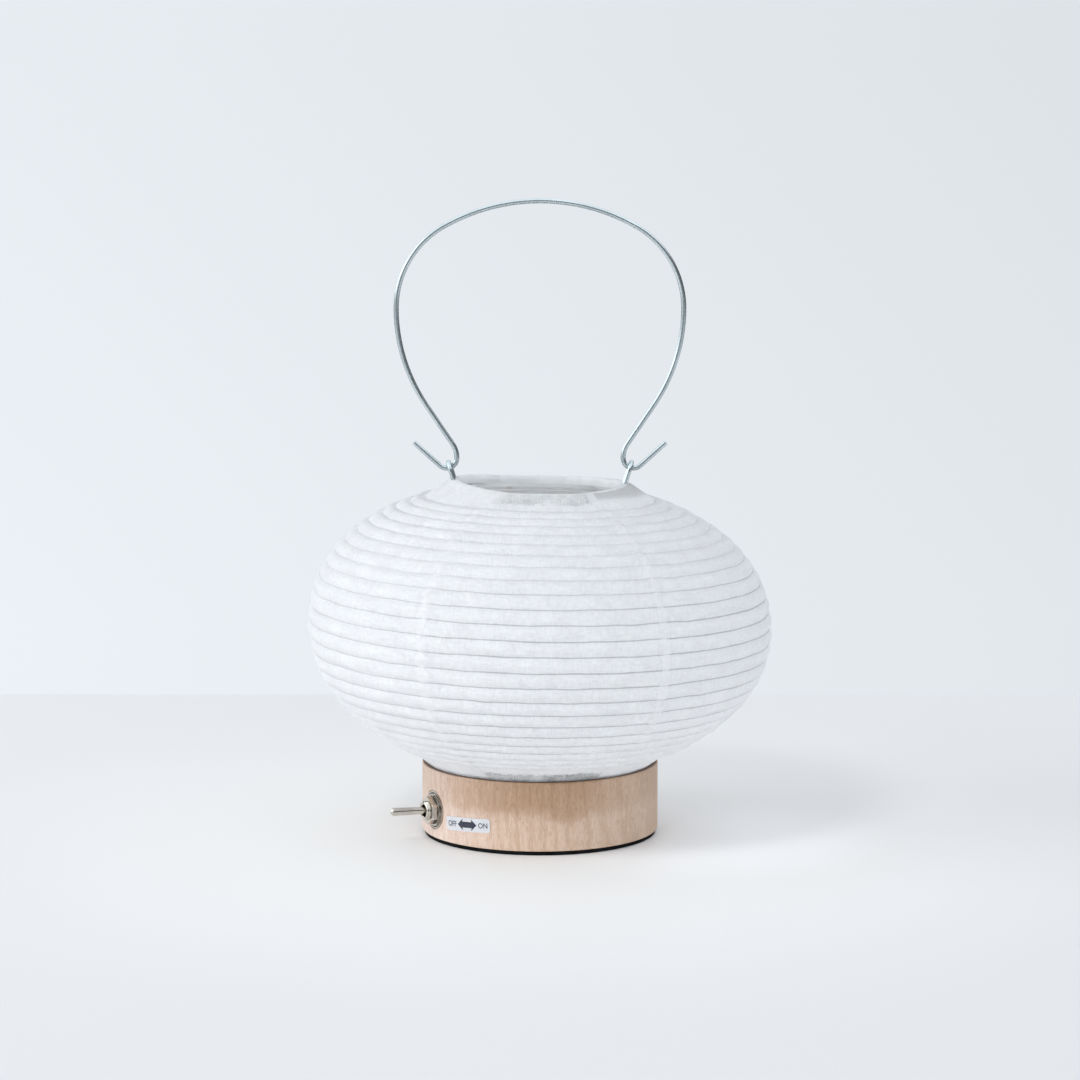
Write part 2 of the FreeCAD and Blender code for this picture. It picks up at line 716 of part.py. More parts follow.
def battery_parts():
    # Modelled with the holder's length along Y, then turned to lie across the switch's axis.
    half_l = holder_len / 2
    x_mid = -holder_shift
    z_low = deck_under - holder_depth
    tray = block((holder_low_x, holder_high_x), (-half_l, half_l), (z_low, deck_under))
    tray = tray.cut(block((holder_low_x + holder_wall, holder_high_x - holder_wall),
                          (-inner_end, inner_end), (z_low, deck_under - holder_wall)))
    head_r = small_head_d / 2
    shank_r = small_screw_d / 2
    sink_at = V(0, 0, -holder_wall)
    sink = Part.makeCone(head_r, shank_r, holder_wall, sink_at, UP)
    sink_gap = Part.makeCone(head_r + screw_fit, shank_r + screw_fit, holder_wall, sink_at, UP)
    screw = sink.fuse(cylinder(shank_r, holder_screw_bite, V(0, 0, 0))).removeSplitter()
    screws = []
    half = holder_screw_apart / 2
    for y in (-half, half):
        place = V(x_mid, y, deck_under)
        screws.append(to_switch(screw.translated(place)))
        tray = tray.cut(sink_gap.translated(place))

    plate_y = inner_end - contact_t
    contacts = []
    for x, tab_z in ((x_mid + cell_x, tab_z_lower), (x_mid - cell_x, tab_z_upper)):
        plate = block((x - contact_w / 2, x + contact_w / 2), (plate_y, inner_end),
                      (cell_z - contact_h / 2, cell_z + contact_h / 2))
        tab = block((x - tab_w / 2, x + tab_w / 2), (plate_y, half_l + tab_len),
                    (tab_z, tab_z + contact_t))
        contacts.append(to_switch(plate.fuse(tab).removeSplitter()))
        slot_half = tab_w / 2 + tab_slot_gap
        slot = block((x - slot_half, x + slot_half), (inner_end, half_l),
                     (tab_z - tab_slot_gap, tab_z + contact_t + tab_slot_gap))
        tray = tray.cut(slot)
    bridge_half = cell_x + contact_w / 2
    bridge = block((x_mid - bridge_half, x_mid + bridge_half), (-inner_end, -plate_y),
                   (cell_z - contact_h / 2, cell_z + contact_h / 2))
    contacts.append(to_switch(bridge))
    keep("battery_holder", to_switch(tray))
    keep("contact_plates", Part.makeCompound(contacts))
    keep("holder_screws", Part.makeCompound(screws))

    springs = []
    for k, side in ((1, 1), (2, -1)):
        # The nub of each cell meets its plate; the spring pushes on the flat end.
        x = x_mid + side * cell_x
        nub_y = plate_y - spring_gap
        can = cylinder(cell_r, cell_len, V(x, nub_y - nub_len - cell_len, cell_z), V(0, 1, 0))
        nub = cylinder(nub_d / 2, nub_len, V(x, nub_y - nub_len, cell_z), V(0, 1, 0))
        cell = can.fuse(nub).removeSplitter()
        coil_len = spring_len - spring_wire - 2 * spring_gap
        coil_r = spring_d / 2 - spring_wire / 2
        spring = pipe(coil_path(coil_r, coil_len, spring_turns), spring_wire / 2)
        spring.rotate(V(0, 0, 0), V(1, 0, 0), -90)
        spring.translate(V(x, -plate_y + spring_gap + spring_wire / 2, cell_z))
        if side < 0:
            for shape in (cell, spring):
                shape.rotate(V(x, 0, 0), UP, 180)
        keep("battery_cell_%d" % k, to_switch(cell))
        springs.append(to_switch(spring))
    keep("battery_springs", Part.makeCompound(springs))


def lamp_board():
    board = cylinder(board_r, board_t, V(0, 0, deck_top))
    for place in board_screw_places():
        hole = cylinder(small_screw_d / 2 + screw_hole_gap, board_t, place + UP * deck_top)
        board = board.cut(hole)
    keep("led_board", board)
    shank_len = board_t + board_screw_bite - screw_fit
    screws = [pan_screw(place + UP * board_top, V(0, 0, -1), small_screw_d, shank_len,
                        small_head_d, small_head_h) for place in board_screw_places()]
    keep("board_screws", Part.makeCompound(screws))

    half = emitter_w / 2
    emitter = block((-half, half), (-half, half), (board_top, board_top + emitter_h))
    rim = [edge for edge in emitter.Edges if abs(edge.CenterOfMass.z - board_top - emitter_h) < 1e-6]
    keep("led_emitter", emitter.makeChamfer(emitter_bevel, rim))

    dome_r = dome_d / 2
    flange = cylinder(dome_flange_r, dome_flange_t, V(0, 0, board_top))
    bulb = Part.makeSphere(dome_r, V(0, 0, board_top + dome_flange_t), UP, 0, 90)
    hollow_r = dome_r - dome_wall
    hollow = cylinder(hollow_r, dome_flange_t, V(0, 0, board_top))
    hollow = hollow.fuse(Part.makeSphere(hollow_r, V(0, 0, board_top + dome_flange_t), UP, 0, 90))
    keep("led_dome", flange.fuse(bulb).cut(hollow).removeSplitter())

    chip_at = polar(board_band_r, switch_turn + chip_turn)
    coil_at = polar(board_band_r, switch_turn + coil_turn)
    half = chip_w / 2
    pieces = [block((chip_at.x - half, chip_at.x + half), (chip_at.y - half, chip_at.y + half),
                    (board_top, board_top + chip_h)),
              cylinder(coil_d / 2, coil_h, coil_at + UP * board_top)]
    for turn in resistor_turns:
        spot = polar(board_band_r, switch_turn + turn)
        half_l = resistor_len / 2
        half_w = resistor_w / 2
        pieces.append(block((spot.x - half_l, spot.x + half_l), (spot.y - half_w, spot.y + half_w),
                            (board_top, board_top + resistor_h)))
    keep("board_components", Part.makeCompound(pieces))


def hookup_wires():
    # Three leads inside the cavity, in the switch's own directions before they are turned.
    tab_x = -holder_shift + cell_x
    far_tab_x = -holder_shift - cell_x
    lug_end = terminal_x - terminal_len
    tab_y = holder_len / 2 + tab_len - lead_r
    seat_low = tab_z_lower + contact_t + lead_r
    seat_high = tab_z_upper + contact_t + lead_r
    corner_x = holder_high_x + lead_corner
    lug_bend_x = lug_end - lead_run
    plus = [V(tab_x, tab_y, seat_low), V(corner_x, tab_y, seat_low),
            V(lug_bend_x - lead_d, tab_y / 2, switch_z), V(lug_bend_x, 0, switch_z),
            V(lug_end, 0, switch_z)]
    half = lead_apart / 2
    switched = [V(lug_end, -terminal_pitch, switch_z), V(lug_bend_x, -terminal_pitch, switch_z),
                V(wire_hole_r, -half, switch_z + lead_run), V(wire_hole_r, -half, deck_top)]
    minus = [V(far_tab_x, tab_y, seat_high), V(corner_x, tab_y, seat_high),
             V(wire_hole_r, lead_side, seat_high), V(wire_hole_r, half, deck_under - lead_d),
             V(wire_hole_r, half, deck_top)]
    leads = []
    for route in (plus, switched, minus):
        leads.append(to_switch(pipe(bent_path(route, lead_bend_r), lead_r)))
    return Part.makeCompound(leads)


creases = crease_points()
keep("wood_base", wood_base())
keep("bottom_cover", bottom_cover())
keep("foot_pad", foot_pad())
keep("cover_screws", cover_screws())
battery_parts()
lamp_board()
switch_parts()
keep("switch_label", switch_label())
keep("hookup_wires", hookup_wires())
keep("bottom_ring", bottom_ring())
keep("bottom_hem", bottom_hem())
keep("top_ring", top_ring())
keep("top_hem", top_hem())
keep("handle", handle())
paper_panels(creases)
ribs(creases)

os.makedirs("parts", exist_ok=True)
for name, shape in parts.items():
    shape.exportStep("parts/%s.step" % name)
print("%d pieces, pivot height %.3f, top ring %.3f" % (len(parts), pivot_z, top_ring_z))
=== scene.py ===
import math

import bpy
import numpy as np
from mathutils import Matrix, Vector


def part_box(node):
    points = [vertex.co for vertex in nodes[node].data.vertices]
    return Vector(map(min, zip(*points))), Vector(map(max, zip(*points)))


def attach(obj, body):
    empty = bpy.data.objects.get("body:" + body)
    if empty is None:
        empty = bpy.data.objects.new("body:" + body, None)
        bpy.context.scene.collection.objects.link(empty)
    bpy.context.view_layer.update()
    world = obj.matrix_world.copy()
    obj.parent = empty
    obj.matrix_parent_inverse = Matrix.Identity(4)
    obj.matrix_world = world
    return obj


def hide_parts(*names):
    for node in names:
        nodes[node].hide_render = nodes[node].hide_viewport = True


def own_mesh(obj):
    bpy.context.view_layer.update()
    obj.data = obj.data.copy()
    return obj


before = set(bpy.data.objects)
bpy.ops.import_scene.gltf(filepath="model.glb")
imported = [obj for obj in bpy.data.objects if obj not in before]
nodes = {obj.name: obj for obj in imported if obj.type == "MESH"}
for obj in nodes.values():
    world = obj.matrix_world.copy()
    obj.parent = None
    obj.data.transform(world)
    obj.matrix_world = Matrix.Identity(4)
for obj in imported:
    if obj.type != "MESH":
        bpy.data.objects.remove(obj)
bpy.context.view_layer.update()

MM = 0.001

# The shade's section, as its solids have it: two quarter superellipses, a collar and a foot
CREASE_R = 73.7 * MM
UPPER_RISE, UPPER_FULLNESS = 46.3 * MM, 2.24
LOWER_DROP, LOWER_FULLNESS = 46.8 * MM, 2.02
FOLDS = 23
FOLD_BULGE = 0.85 * MM
MOUTH_R = 28.625 * MM
COLLAR_W, COLLAR_RISE = 8.3 * MM, 4.7 * MM
FOOT_R, FOOT_Z = 36.3 * MM, 20.9 * MM
FOOT_FLARE, FOOT_RISE = 7.3 * MM, 5.35 * MM
TOP_CREASE_R = MOUTH_R + COLLAR_W
BOTTOM_CREASE_R = FOOT_R + FOOT_FLARE
PANELS = 6
PANEL_TURN = 2 * math.pi / PANELS
FRONT = -math.pi / 2
FRONT_PANEL, RIGHT_PANEL = 1, 2

# Paper: thickness, laps and steps across a fold
PAPER_T = 0.08 * MM
LAP, LAP_LIFT = 3.2 * MM, 0.09 * MM
FOLD_STEPS = (0.0, 0.06, 0.16, 0.3, 0.5, 0.7, 0.84, 0.94)
COLUMNS = 150
# How far out of a crease the painted crease shade reaches
CREASE_DEPTH = 0.17
LIGHT_THROUGH = 0.6
PAPER_SMOOTH, FOAM_SMOOTH, THREAD_SMOOTH, FILM_SMOOTH = 80, 40, 25, 30

# Hems: radius and height of each strip's line in millimetres
HEM_LAP = 2.0 * MM
TOP_HEM_LINE = ((25.80, 110.4), (25.74, 111.2), (25.76, 112.0), (25.98, 112.72), (26.45, 113.0),
                (27.1, 113.06), (27.8, 113.0), (28.18, 112.86), (28.28, 112.4), (28.24, 111.6),
                (28.2, 110.7))
SEAT_HEM_LINE = ((33.98, 20.95), (33.98, 22.6), (33.98, 24.8))
TOP_HEM_ROWS, SEAT_HEM_ROWS = 32, 12

# Hoops: slimmer than their solids, with one lapped joint and a few knots
HOOP_SLIM = 0.75
JOINT_HALF, JOINT_SWELL = 6 * MM, 0.06 * MM
KNOTS, KNOT_HALF, KNOT_SWELL = 3, 1.1 * MM, 0.04 * MM

# Seeds of the unevenness
(BULGE, PUCKER, FINE_PUCKER, SEAM_PUCKER, COLLAR_PUCKER, WANDER, RAGGED, FINE_RAGGED, MOTTLE,
 LAP_EDGE, LAP_WHITE) = range(1, 12)
HOOP_SEED, TOP_HEM_SEED, SEAT_HEM_SEED, STRIP_STEP = 700, 900, 960, 7

# Base, foot pad and switch
WOOD_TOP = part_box("wood_base")[1].z
BASE_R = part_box("wood_base")[1].x
SCREW_TURNS = (267, 27, 147)
SCREW_CIRCLE_R, SCREW_HOLE_R = 33.35 * MM, 2.6 * MM
FOAM_ROUND = 0.3 * MM
SWITCH_TURN = math.radians(207)
SWITCH_Z = 10.35 * MM
BARREL_START, BARREL_END = 34.0 * MM, 41.7 * MM
THREAD_CREST_R, THREAD_ROOT_R, THREAD_PITCH = 3.0 * MM, 2.72 * MM, 0.55 * MM
BORE_R, BORE_CHAMFER = 2.0 * MM, 0.25 * MM
KEY_SLOT = (0.9 * MM, 0.8 * MM, 20 * MM)

# Label, drawn in millimetres on its own plane: a word has a middle, a width and a height
LABEL_TURN = math.radians(232.5)
LABEL_TILT = math.radians(3.5)
LABEL_Z = 8.3 * MM
LABEL_T, LABEL_GAP, PRINT_GAP, PRINT_T = 0.14, 0.03, 0.012, 0.01
LABEL_R = BASE_R + LABEL_T * MM
LABEL_W, LABEL_H, LABEL_CORNER = 17.6, 4.4, 0.8
STRIP_W, STRIPS_REACH = 0.4, 8.6
OFF_WORD = ("OFF", -5.95, 3.75, 1.8)
ON_WORD = ("ON", 6.3, 3.3, 1.7)
WORD_WEIGHT = 0.012
ARROW_MIDDLE = 0.25
ARROW_HEAD = ((1.85, 0.95), (1.6, 1.9), (3.75, 0.0), (1.6, -1.9), (1.85, -0.95))

# Studio, in metres: lamps have a name, a place, a size, a power and a tint
TABLE_W, TABLE_D, TABLE_EDGE_Y = 4.0, 2.251, 0.251
SKY = (0.785, 0.82, 0.862, 1.0)
LAMPS = (("key", (-0.65, -0.93, 1.26), 0.35, 5.5, (1.0, 0.985, 0.97)),
         ("window", (-2.8, -0.7, 0.93), 2.0, 32.0, (0.98, 0.99, 1.0)),
         ("card", (0.0, 0.0, 0.0004), 0.5, 0.28, (1.0, 1.0, 1.0)))
LAMP_AIM = Vector((0, 0, 0.07))
CAMERA_PLACE, CAMERA_DIP = (0, -1.0295, 0.2277), 7.35
SENSOR_W, FOCAL_PX, PICTURE_PX = 36.0, 3233, 1080


# Node helpers

def rgb(red, green, blue):
    return (red, green, blue, 1.0)


def add(tree, kind, inputs=None, **settings):
    """A node of the kind, with its settings, values and links in place."""
    made = tree.nodes.new("ShaderNode" + kind)
    for key, value in settings.items():
        setattr(made, key, value)
    for key, value in (inputs or {}).items():
        socket = made.inputs[key]
        if isinstance(value, bpy.types.NodeSocket):
            tree.links.new(value, socket)
        else:
            socket.default_value = value
    return made


def work(tree, operation, a, b=0.0):
    return add(tree, "Math", {0: a, 1: b}, operation=operation).outputs[0]


def times(tree, a, b):
    return work(tree, "MULTIPLY", a, b)


def plus(tree, a, b):
    return work(tree, "ADD", a, b)


def blend(tree, share, a, b, kind="MIX"):
    return add(tree, "Mix", {0: share, 6: a, 7: b}, data_type="RGBA", blend_type=kind).outputs[2]


def shade_by(tree, colour, value):
    """Multiplies a colour by a value."""
    grey = add(tree, "CombineColor", {0: value, 1: value, 2: value}).outputs[0]
    return blend(tree, 1.0, colour, grey, "MULTIPLY")


def remap(tree, value, low, high, to_low=0.0, to_high=1.0, smooth=True):
    """Carries a value from one range to another and holds it there."""
    inputs = {"Value": value, "From Min": low, "From Max": high,
              "To Min": to_low, "To Max": to_high}
    kind = "SMOOTHSTEP" if smooth else "LINEAR"
    return add(tree, "MapRange", inputs, interpolation_type=kind).outputs[0]


def stretched(tree, vector, scale, turn=(0, 0, 0), place=(0, 0, 0)):
    inputs = {"Vector": vector, "Location": place, "Rotation": turn, "Scale": scale}
    return add(tree, "Mapping", inputs).outputs[0]


def noise(tree, vector, scale, detail=2.0, rough=0.5, twist=0.0):
    inputs = {"Vector": vector, "Scale": scale, "Detail": detail,
              "Roughness": rough, "Distortion": twist}
    return add(tree, "TexNoise", inputs).outputs["Fac"]


def object_place(tree):
    return add(tree, "TexCoord").outputs["Object"]


def own_map(tree):
    return add(tree, "TexCoord").outputs["UV"]


def parts_of(tree, vector):
    """X, Y and Z of a vector."""
    return add(tree, "SeparateXYZ", {0: vector}).outputs


def switch_parts(tree, place):
    """X, Y and Z of a place, with X along the switch."""
    return parts_of(tree, stretched(tree, place, (1, 1, 1), (0, 0, -SWITCH_TURN)))


def spread(tree, name):
    """A value that a piece carries on its vertices."""
    return add(tree, "Attribute", attribute_name=name).outputs["Fac"]


def bump(tree, height, distance, strength):
    inputs = {"Height": height, "Distance": distance, "Strength": strength}
    return add(tree, "Bump", inputs).outputs[0]


def group(name, outputs):
    """An empty shared effect that takes a place and a scale."""
    tree = bpy.data.node_groups.new(name, "ShaderNodeTree")
    tree.interface.new_socket("Vector", in_out="INPUT", socket_type="NodeSocketVector")
    scale = tree.interface.new_socket("Scale", in_out="INPUT", socket_type="NodeSocketFloat")
    scale.default_value = 1.0
    for output in outputs:
        tree.interface.new_socket(output, in_out="OUTPUT", socket_type="NodeSocketFloat")
    given = tree.nodes.new("NodeGroupInput")
    result = tree.nodes.new("NodeGroupOutput")
    place = add(tree, "VectorMath", {0: given.outputs["Vector"]}, operation="SCALE")
    tree.links.new(given.outputs["Scale"], place.inputs["Scale"])
    return tree, place.outputs[0], result


def use(tree, effect, vector, scale):
    made = tree.nodes.new("ShaderNodeGroup")
    made.node_tree = effect
    tree.links.new(vector, made.inputs["Vector"])
    made.inputs["Scale"].default_value = scale
    return made.outputs


# Shared effects

def paper_fibres():
    """Mulberry fibres that lie every way, fine crinkles, and the clouds of hand-made paper."""
    tree, place, result = group("paper_fibres", ("Fibres", "Cloud", "Crinkle"))
    threads = None
    for turn, shift in ((0.5, 0.0), (2.1, 7.3), (1.35, 19.1)):
        lie = stretched(tree, place, (1.0, 0.09, 1.0), (0, 0, turn), (shift, shift, 0))
        line = noise(tree, lie, 90.0, 1.0, 0.4, 0.6)
        off = work(tree, "ABSOLUTE", work(tree, "SUBTRACT", line, 0.5))
        thin = remap(tree, off, 0.0, 0.022, 1.0, 0.0)
        threads = thin if threads is None else work(tree, "MAXIMUM", threads, thin)
    patchy = remap(tree, noise(tree, place, 30.0, 2.0), 0.42, 0.62, 0.15, 1.0)
    tree.links.new(times(tree, threads, patchy), result.inputs["Fibres"])
    tree.links.new(noise(tree, place, 14.0, 4.0, 0.55), result.inputs["Cloud"])
    lying = noise(tree, stretched(tree, place, (0.6, 1.2, 1.0)), 110.0, 2.0, 0.5, 0.5)
    standing = noise(tree, stretched(tree, place, (2.4, 0.16, 1.0)), 150.0, 2.0, 0.5)
    tree.links.new(plus(tree, lying, standing), result.inputs["Crinkle"])
    return tree


def metal_wear():
    """Dull patches and fine drawing marks of plated or drawn metal."""
    tree, place, result = group("metal_wear", ("Dull", "Grain"))
    dull = remap(tree, noise(tree, place, 1.0, 5.0, 0.62), 0.35, 0.68)
    tree.links.new(dull, result.inputs["Dull"])
    tree.links.new(noise(tree, place, 9.0, 3.0, 0.6), result.inputs["Grain"])
    return tree


def moulded_skin():
    """The fine tooth and slow mottling of a moulded or coated surface."""
    tree, place, result = group("moulded_skin", ("Mottle", "Tooth"))
    tree.links.new(noise(tree, place, 1.0, 3.0, 0.5), result.inputs["Mottle"])
    tree.links.new(noise(tree, place, 16.0, 2.0, 0.55), result.inputs["Tooth"])
    return tree


FIBRES = paper_fibres()
WEAR = metal_wear()
SKIN = moulded_skin()


# Finishes

def finish(name, **sockets):
    """A new material with one Principled shader, and its constant values set on the shader."""
    made = bpy.data.materials.new(name)
    made.use_nodes = True
    tree = made.node_tree
    tree.nodes.clear()
    shader = add(tree, "BsdfPrincipled")
    for key, value in sockets.items():
        shader.inputs[key.replace("_", " ")].default_value = value
    out = add(tree, "OutputMaterial")
    tree.links.new(shader.outputs[0], out.inputs["Surface"])
    return made, tree, shader


def feed(tree, shader, **sockets):
    for key, value in sockets.items():
        tree.links.new(value, shader.inputs[key.replace("_", " ")])


def let_light_through(tree, shader, colour, share):
    """Mixes a translucent shader with the Principled one."""
    through = add(tree, "BsdfTranslucent", {"Color": colour})
    both = add(tree, "MixShader", {0: share, 1: shader.outputs[0], 2: through.outputs[0]})
    out = next(n for n in tree.nodes if n.type == "OUTPUT_MATERIAL")
    tree.links.new(both.outputs[0], out.inputs["Surface"])


def washi_finish():
    """White mulberry paper: cloudy, fibrous, with painted shade in its creases, greyer in glue,
    whiter where it laps.
    """
    made, tree, shader = finish("washi", Roughness=0.75, Specular_IOR_Level=0.3)
    marks = use(tree, FIBRES, own_map(tree), 1.0)
    white, wet = rgb(0.99, 0.99, 0.99), rgb(0.36, 0.375, 0.37)
    cloud = remap(tree, marks["Cloud"], 0.3, 0.7)
    sheet = blend(tree, cloud, rgb(0.908, 0.912, 0.921), rgb(0.938, 0.942, 0.948))
    sheet = blend(tree, times(tree, marks["Fibres"], 0.45), sheet, white)
    sheet = blend(tree, times(tree, spread(tree, "lap"), 0.6), sheet, white)
    # Painted shade in and near the creases, as the crown attribute carries it
    shadow = remap(tree, spread(tree, "crown"), 0.0, CREASE_DEPTH, 0.68, 1.0)
    sheet = shade_by(tree, sheet, shadow)
    sheet = shade_by(tree, sheet, remap(tree, marks["Crinkle"], 0.75, 1.25, 0.955, 1.02))
    soaked = spread(tree, "glue")
    for mark, low, high, least in (("Cloud", 0.25, 0.7, 0.45), ("Crinkle", 0.85, 1.15, 0.55),
                                   ("Fibres", 0.2, 0.9, 0.25)):
        soaked = times(tree, soaked, remap(tree, marks[mark], low, high, 1.0, least))
    sheet = blend(tree, soaked, sheet, wet)
    relief = plus(tree, times(tree, marks["Fibres"], 0.2), marks["Crinkle"])
    feed(tree, shader, Base_Color=sheet, Normal=bump(tree, relief, 0.0004, 0.8))
    let_light_through(tree, shader, sheet, LIGHT_THROUGH)
    return made


def hem_finish():
    """Glued paper at the hems: greyer and mottled, and whiter where two strips lap."""
    made, tree, shader = finish("hem_paper", Roughness=0.6, Specular_IOR_Level=0.35)
    marks = use(tree, FIBRES, own_map(tree), 1.0)
    white = rgb(0.96, 0.96, 0.96)
    wet = remap(tree, marks["Cloud"], 0.32, 0.66, 0.2, 1.0)
    sheet = blend(tree, wet, rgb(0.945, 0.95, 0.95), rgb(0.885, 0.893, 0.893))
    sheet = blend(tree, times(tree, marks["Fibres"], 0.5), sheet, white)
    sheet = blend(tree, times(tree, spread(tree, "double"), 0.6), sheet, white)
    feed(tree, shader, Base_Color=sheet, Normal=bump(tree, marks["Crinkle"], 0.0003, 0.6))
    let_light_through(tree, shader, sheet, LIGHT_THROUGH)
    return made


def maple_finish():
    """Pale turned maple: upright grain in fine broken streaks, a tan patch that is partly painted
    shadow, painted shade at the right, a painted sheen at the left and a painted shadow on the top
    edge.
    """
    made, tree, shader = finish("maple", Specular_IOR_Level=0.3)
    place = object_place(tree)
    leaning = stretched(tree, place, (1, 1, 1), (0.05, 0.03, 0.35))
    drift = noise(tree, stretched(tree, leaning, (1, 1, 0.3)), 60.0, 3.0, 0.55)
    apart = parts_of(tree, leaning)
    across = plus(tree, apart["X"], times(tree, drift, 0.009))
    bow = times(tree, work(tree, "POWER", apart["Y"], 2.0), 4.0)
    rings = work(tree, "SINE", times(tree, plus(tree, across, bow), 1900.0))
    rings = remap(tree, rings, -1.0, 1.0, 0.0, 0.55)
    aside = stretched(tree, leaning, (1, 1, 0.6), place=(0.3, 0.1, 0.0))
    heart = remap(tree, noise(tree, aside, 34.0, 2.0, 0.5), 0.38, 0.62)
    streaks = noise(tree, stretched(tree, leaning, (1, 1, 0.14)), 1100.0, 4.0, 0.65)
    pores = noise(tree, stretched(tree, leaning, (1, 1, 0.22)), 2400.0, 2.0, 0.6)
    ripple = noise(tree, stretched(tree, leaning, (0.5, 0.5, 1.6)), 800.0, 2.0, 0.5)
    wood = blend(tree, heart, rgb(0.475, 0.348, 0.267), rgb(0.432, 0.303, 0.212))
    wood = blend(tree, rings, wood, rgb(0.385, 0.264, 0.182))
    for pattern, low, high, most, colour in (
            (streaks, 0.4, 0.68, 0.8, rgb(0.515, 0.395, 0.308)),
            (pores, 0.5, 0.68, 0.65, rgb(0.36, 0.235, 0.153)),
            (ripple, 0.56, 0.74, 0.3, rgb(0.42, 0.285, 0.192))):
        wood = blend(tree, remap(tree, pattern, low, high, 0.0, most), wood, colour)

    # The tan patch on the upper front, partly the wood's own tone and partly painted shadow of the
    # shade; painted shade on the right side; a painted sheen on the left side; painted shadow on
    # the top edge
    spot = parts_of(tree, place)
    cloud = work(tree, "SUBTRACT", noise(tree, place, 70.0, 3.0, 0.6), 0.5)
    cloud = times(tree, cloud, 0.02)
    rise = plus(tree, spot["Z"], times(tree, cloud, 0.5))
    # Tan patch: partly the wood's own darker tone, partly painted shadow cast by the shade
    tan_and_shadow_patch = times(tree, remap(tree, rise, 10.5 * MM, 15.5 * MM),
                  remap(tree, plus(tree, spot["X"], cloud), -33 * MM, -13 * MM, 0.45, 1.0))
    tan_and_shadow_patch = times(tree, tan_and_shadow_patch, remap(tree, spot["Y"], -22 * MM, 18 * MM, 1.0, 0.0))
    tan_and_shadow_patch = times(tree, tan_and_shadow_patch, remap(tree, spot["X"], 8 * MM, 30 * MM, 1.0, 0.3))
    wood = blend(tree, tan_and_shadow_patch, wood, rgb(0.74, 0.655, 0.555), "MULTIPLY")
    # Painted shade, darker towards the right side
    wood = shade_by(tree, wood, remap(tree, spot["X"], 4 * MM, 34 * MM, 1.0, 0.87))
    # Painted sheen, paler and cooler towards the left side
    painted_left_sheen = remap(tree, spot["X"], -38 * MM, 2 * MM, 1.0, 0.0)
    wood = blend(tree, painted_left_sheen, wood, rgb(1.18, 1.27, 1.46), "MULTIPLY")
    # Painted shadow on the wood's top edge, under the overhanging shade
    edge = remap(tree, spot["Z"], WOOD_TOP - 0.2 * MM, WOOD_TOP - 0.04 * MM, 0.0, 0.92)
    wood = blend(tree, edge, wood, rgb(0.13, 0.075, 0.05))

    rough = remap(tree, streaks, 0.3, 0.7, 0.42, 0.58)
    relief = work(tree, "SUBTRACT", streaks, times(tree, pores, 0.6))
    feed(tree, shader, Base_Color=wood, Roughness=rough, Normal=bump(tree, relief, 0.00005, 0.35))
    return made


def metal_finish(name, bright, dark, low, high, scale, relief=0.00002):
    """Bare or plated metal with dull patches."""
    made, tree, shader = finish(name, Metallic=1.0)
    marks = use(tree, WEAR, object_place(tree), scale)
    colour = blend(tree, marks["Dull"], bright, dark)
    rough = remap(tree, plus(tree, marks["Dull"], marks["Grain"]), 0.2, 1.6, low, high)
    drawn = bump(tree, marks["Grain"], relief, 0.4)
    feed(tree, shader, Base_Color=colour, Roughness=rough, Normal=drawn)
    return made


def washer_finish():
    """Nickel rings with painted shade in dark bands on the faces, for the shadowed gaps between the
    rings, and bright at the rims.
    """
    made, tree, shader = finish("washer_nickel", Metallic=1.0)
    place = object_place(tree)
    marks = use(tree, WEAR, place, 300.0)
    spot = switch_parts(tree, place)
    rise = work(tree, "SUBTRACT", spot["Z"], SWITCH_Z)
    off = plus(tree, times(tree, spot["Y"], spot["Y"]), times(tree, rise, rise))
    off = work(tree, "SQRT", off)
    # Painted shade: two dark bands on the ring faces, for the shadowed gaps between the rings
    painted_gap_shade = None
    for low, high in ((3.9, 4.7), (5.1, 5.68)):
        band = times(tree, remap(tree, off, low * MM, (low + 0.12) * MM, 0.0, 0.93),
                     remap(tree, off, (high - 0.08) * MM, high * MM, 1.0, 0.0))
        painted_gap_shade = band if painted_gap_shade is None else plus(tree, painted_gap_shade, band)
    colour = blend(tree, marks["Dull"], rgb(0.70, 0.66, 0.60), rgb(0.58, 0.54, 0.48))
    colour = blend(tree, painted_gap_shade, colour, rgb(0.035, 0.03, 0.026))
    rough = remap(tree, plus(tree, marks["Dull"], painted_gap_shade), 0.0, 2.0, 0.12, 0.5)
    feed(tree, shader, Base_Color=colour, Roughness=rough)
    return made


def skin_finish(name, colour, second, low, high, scale, relief, **sockets):
    """Plastic, rubber, film or lacquer with a fine tooth."""
    made, tree, shader = finish(name, **sockets)
    marks = use(tree, SKIN, object_place(tree), scale)
    tint = blend(tree, remap(tree, marks["Mottle"], 0.3, 0.7), colour, second)
    rough = remap(tree, marks["Tooth"], 0.3, 0.7, low, high)
    tooth = bump(tree, marks["Tooth"], relief, 0.5)
    feed(tree, shader, Base_Color=tint, Roughness=rough, Normal=tooth)
    return made


def cell_finish(name, end):
    """Shrink film on a battery cell: dark, with a paler band at its plus end."""
    made, tree, shader = finish(name, Specular_IOR_Level=0.5)
    place = object_place(tree)
    marks = use(tree, SKIN, place, 260.0)
    along = times(tree, switch_parts(tree, place)["Y"], end)
    band = remap(tree, along, 10.5 * MM, 10.8 * MM)
    film = blend(tree, band, rgb(0.03, 0.034, 0.04), rgb(0.62, 0.36, 0.12))
    worn = remap(tree, marks["Mottle"], 0.5, 0.9, 0.0, 0.3)
    film = blend(tree, worn, film, rgb(0.2, 0.2, 0.2))
    rough = remap(tree, marks["Tooth"], 0.3, 0.7, 0.22, 0.34)
    feed(tree, shader, Base_Color=film, Roughness=rough)
    return made


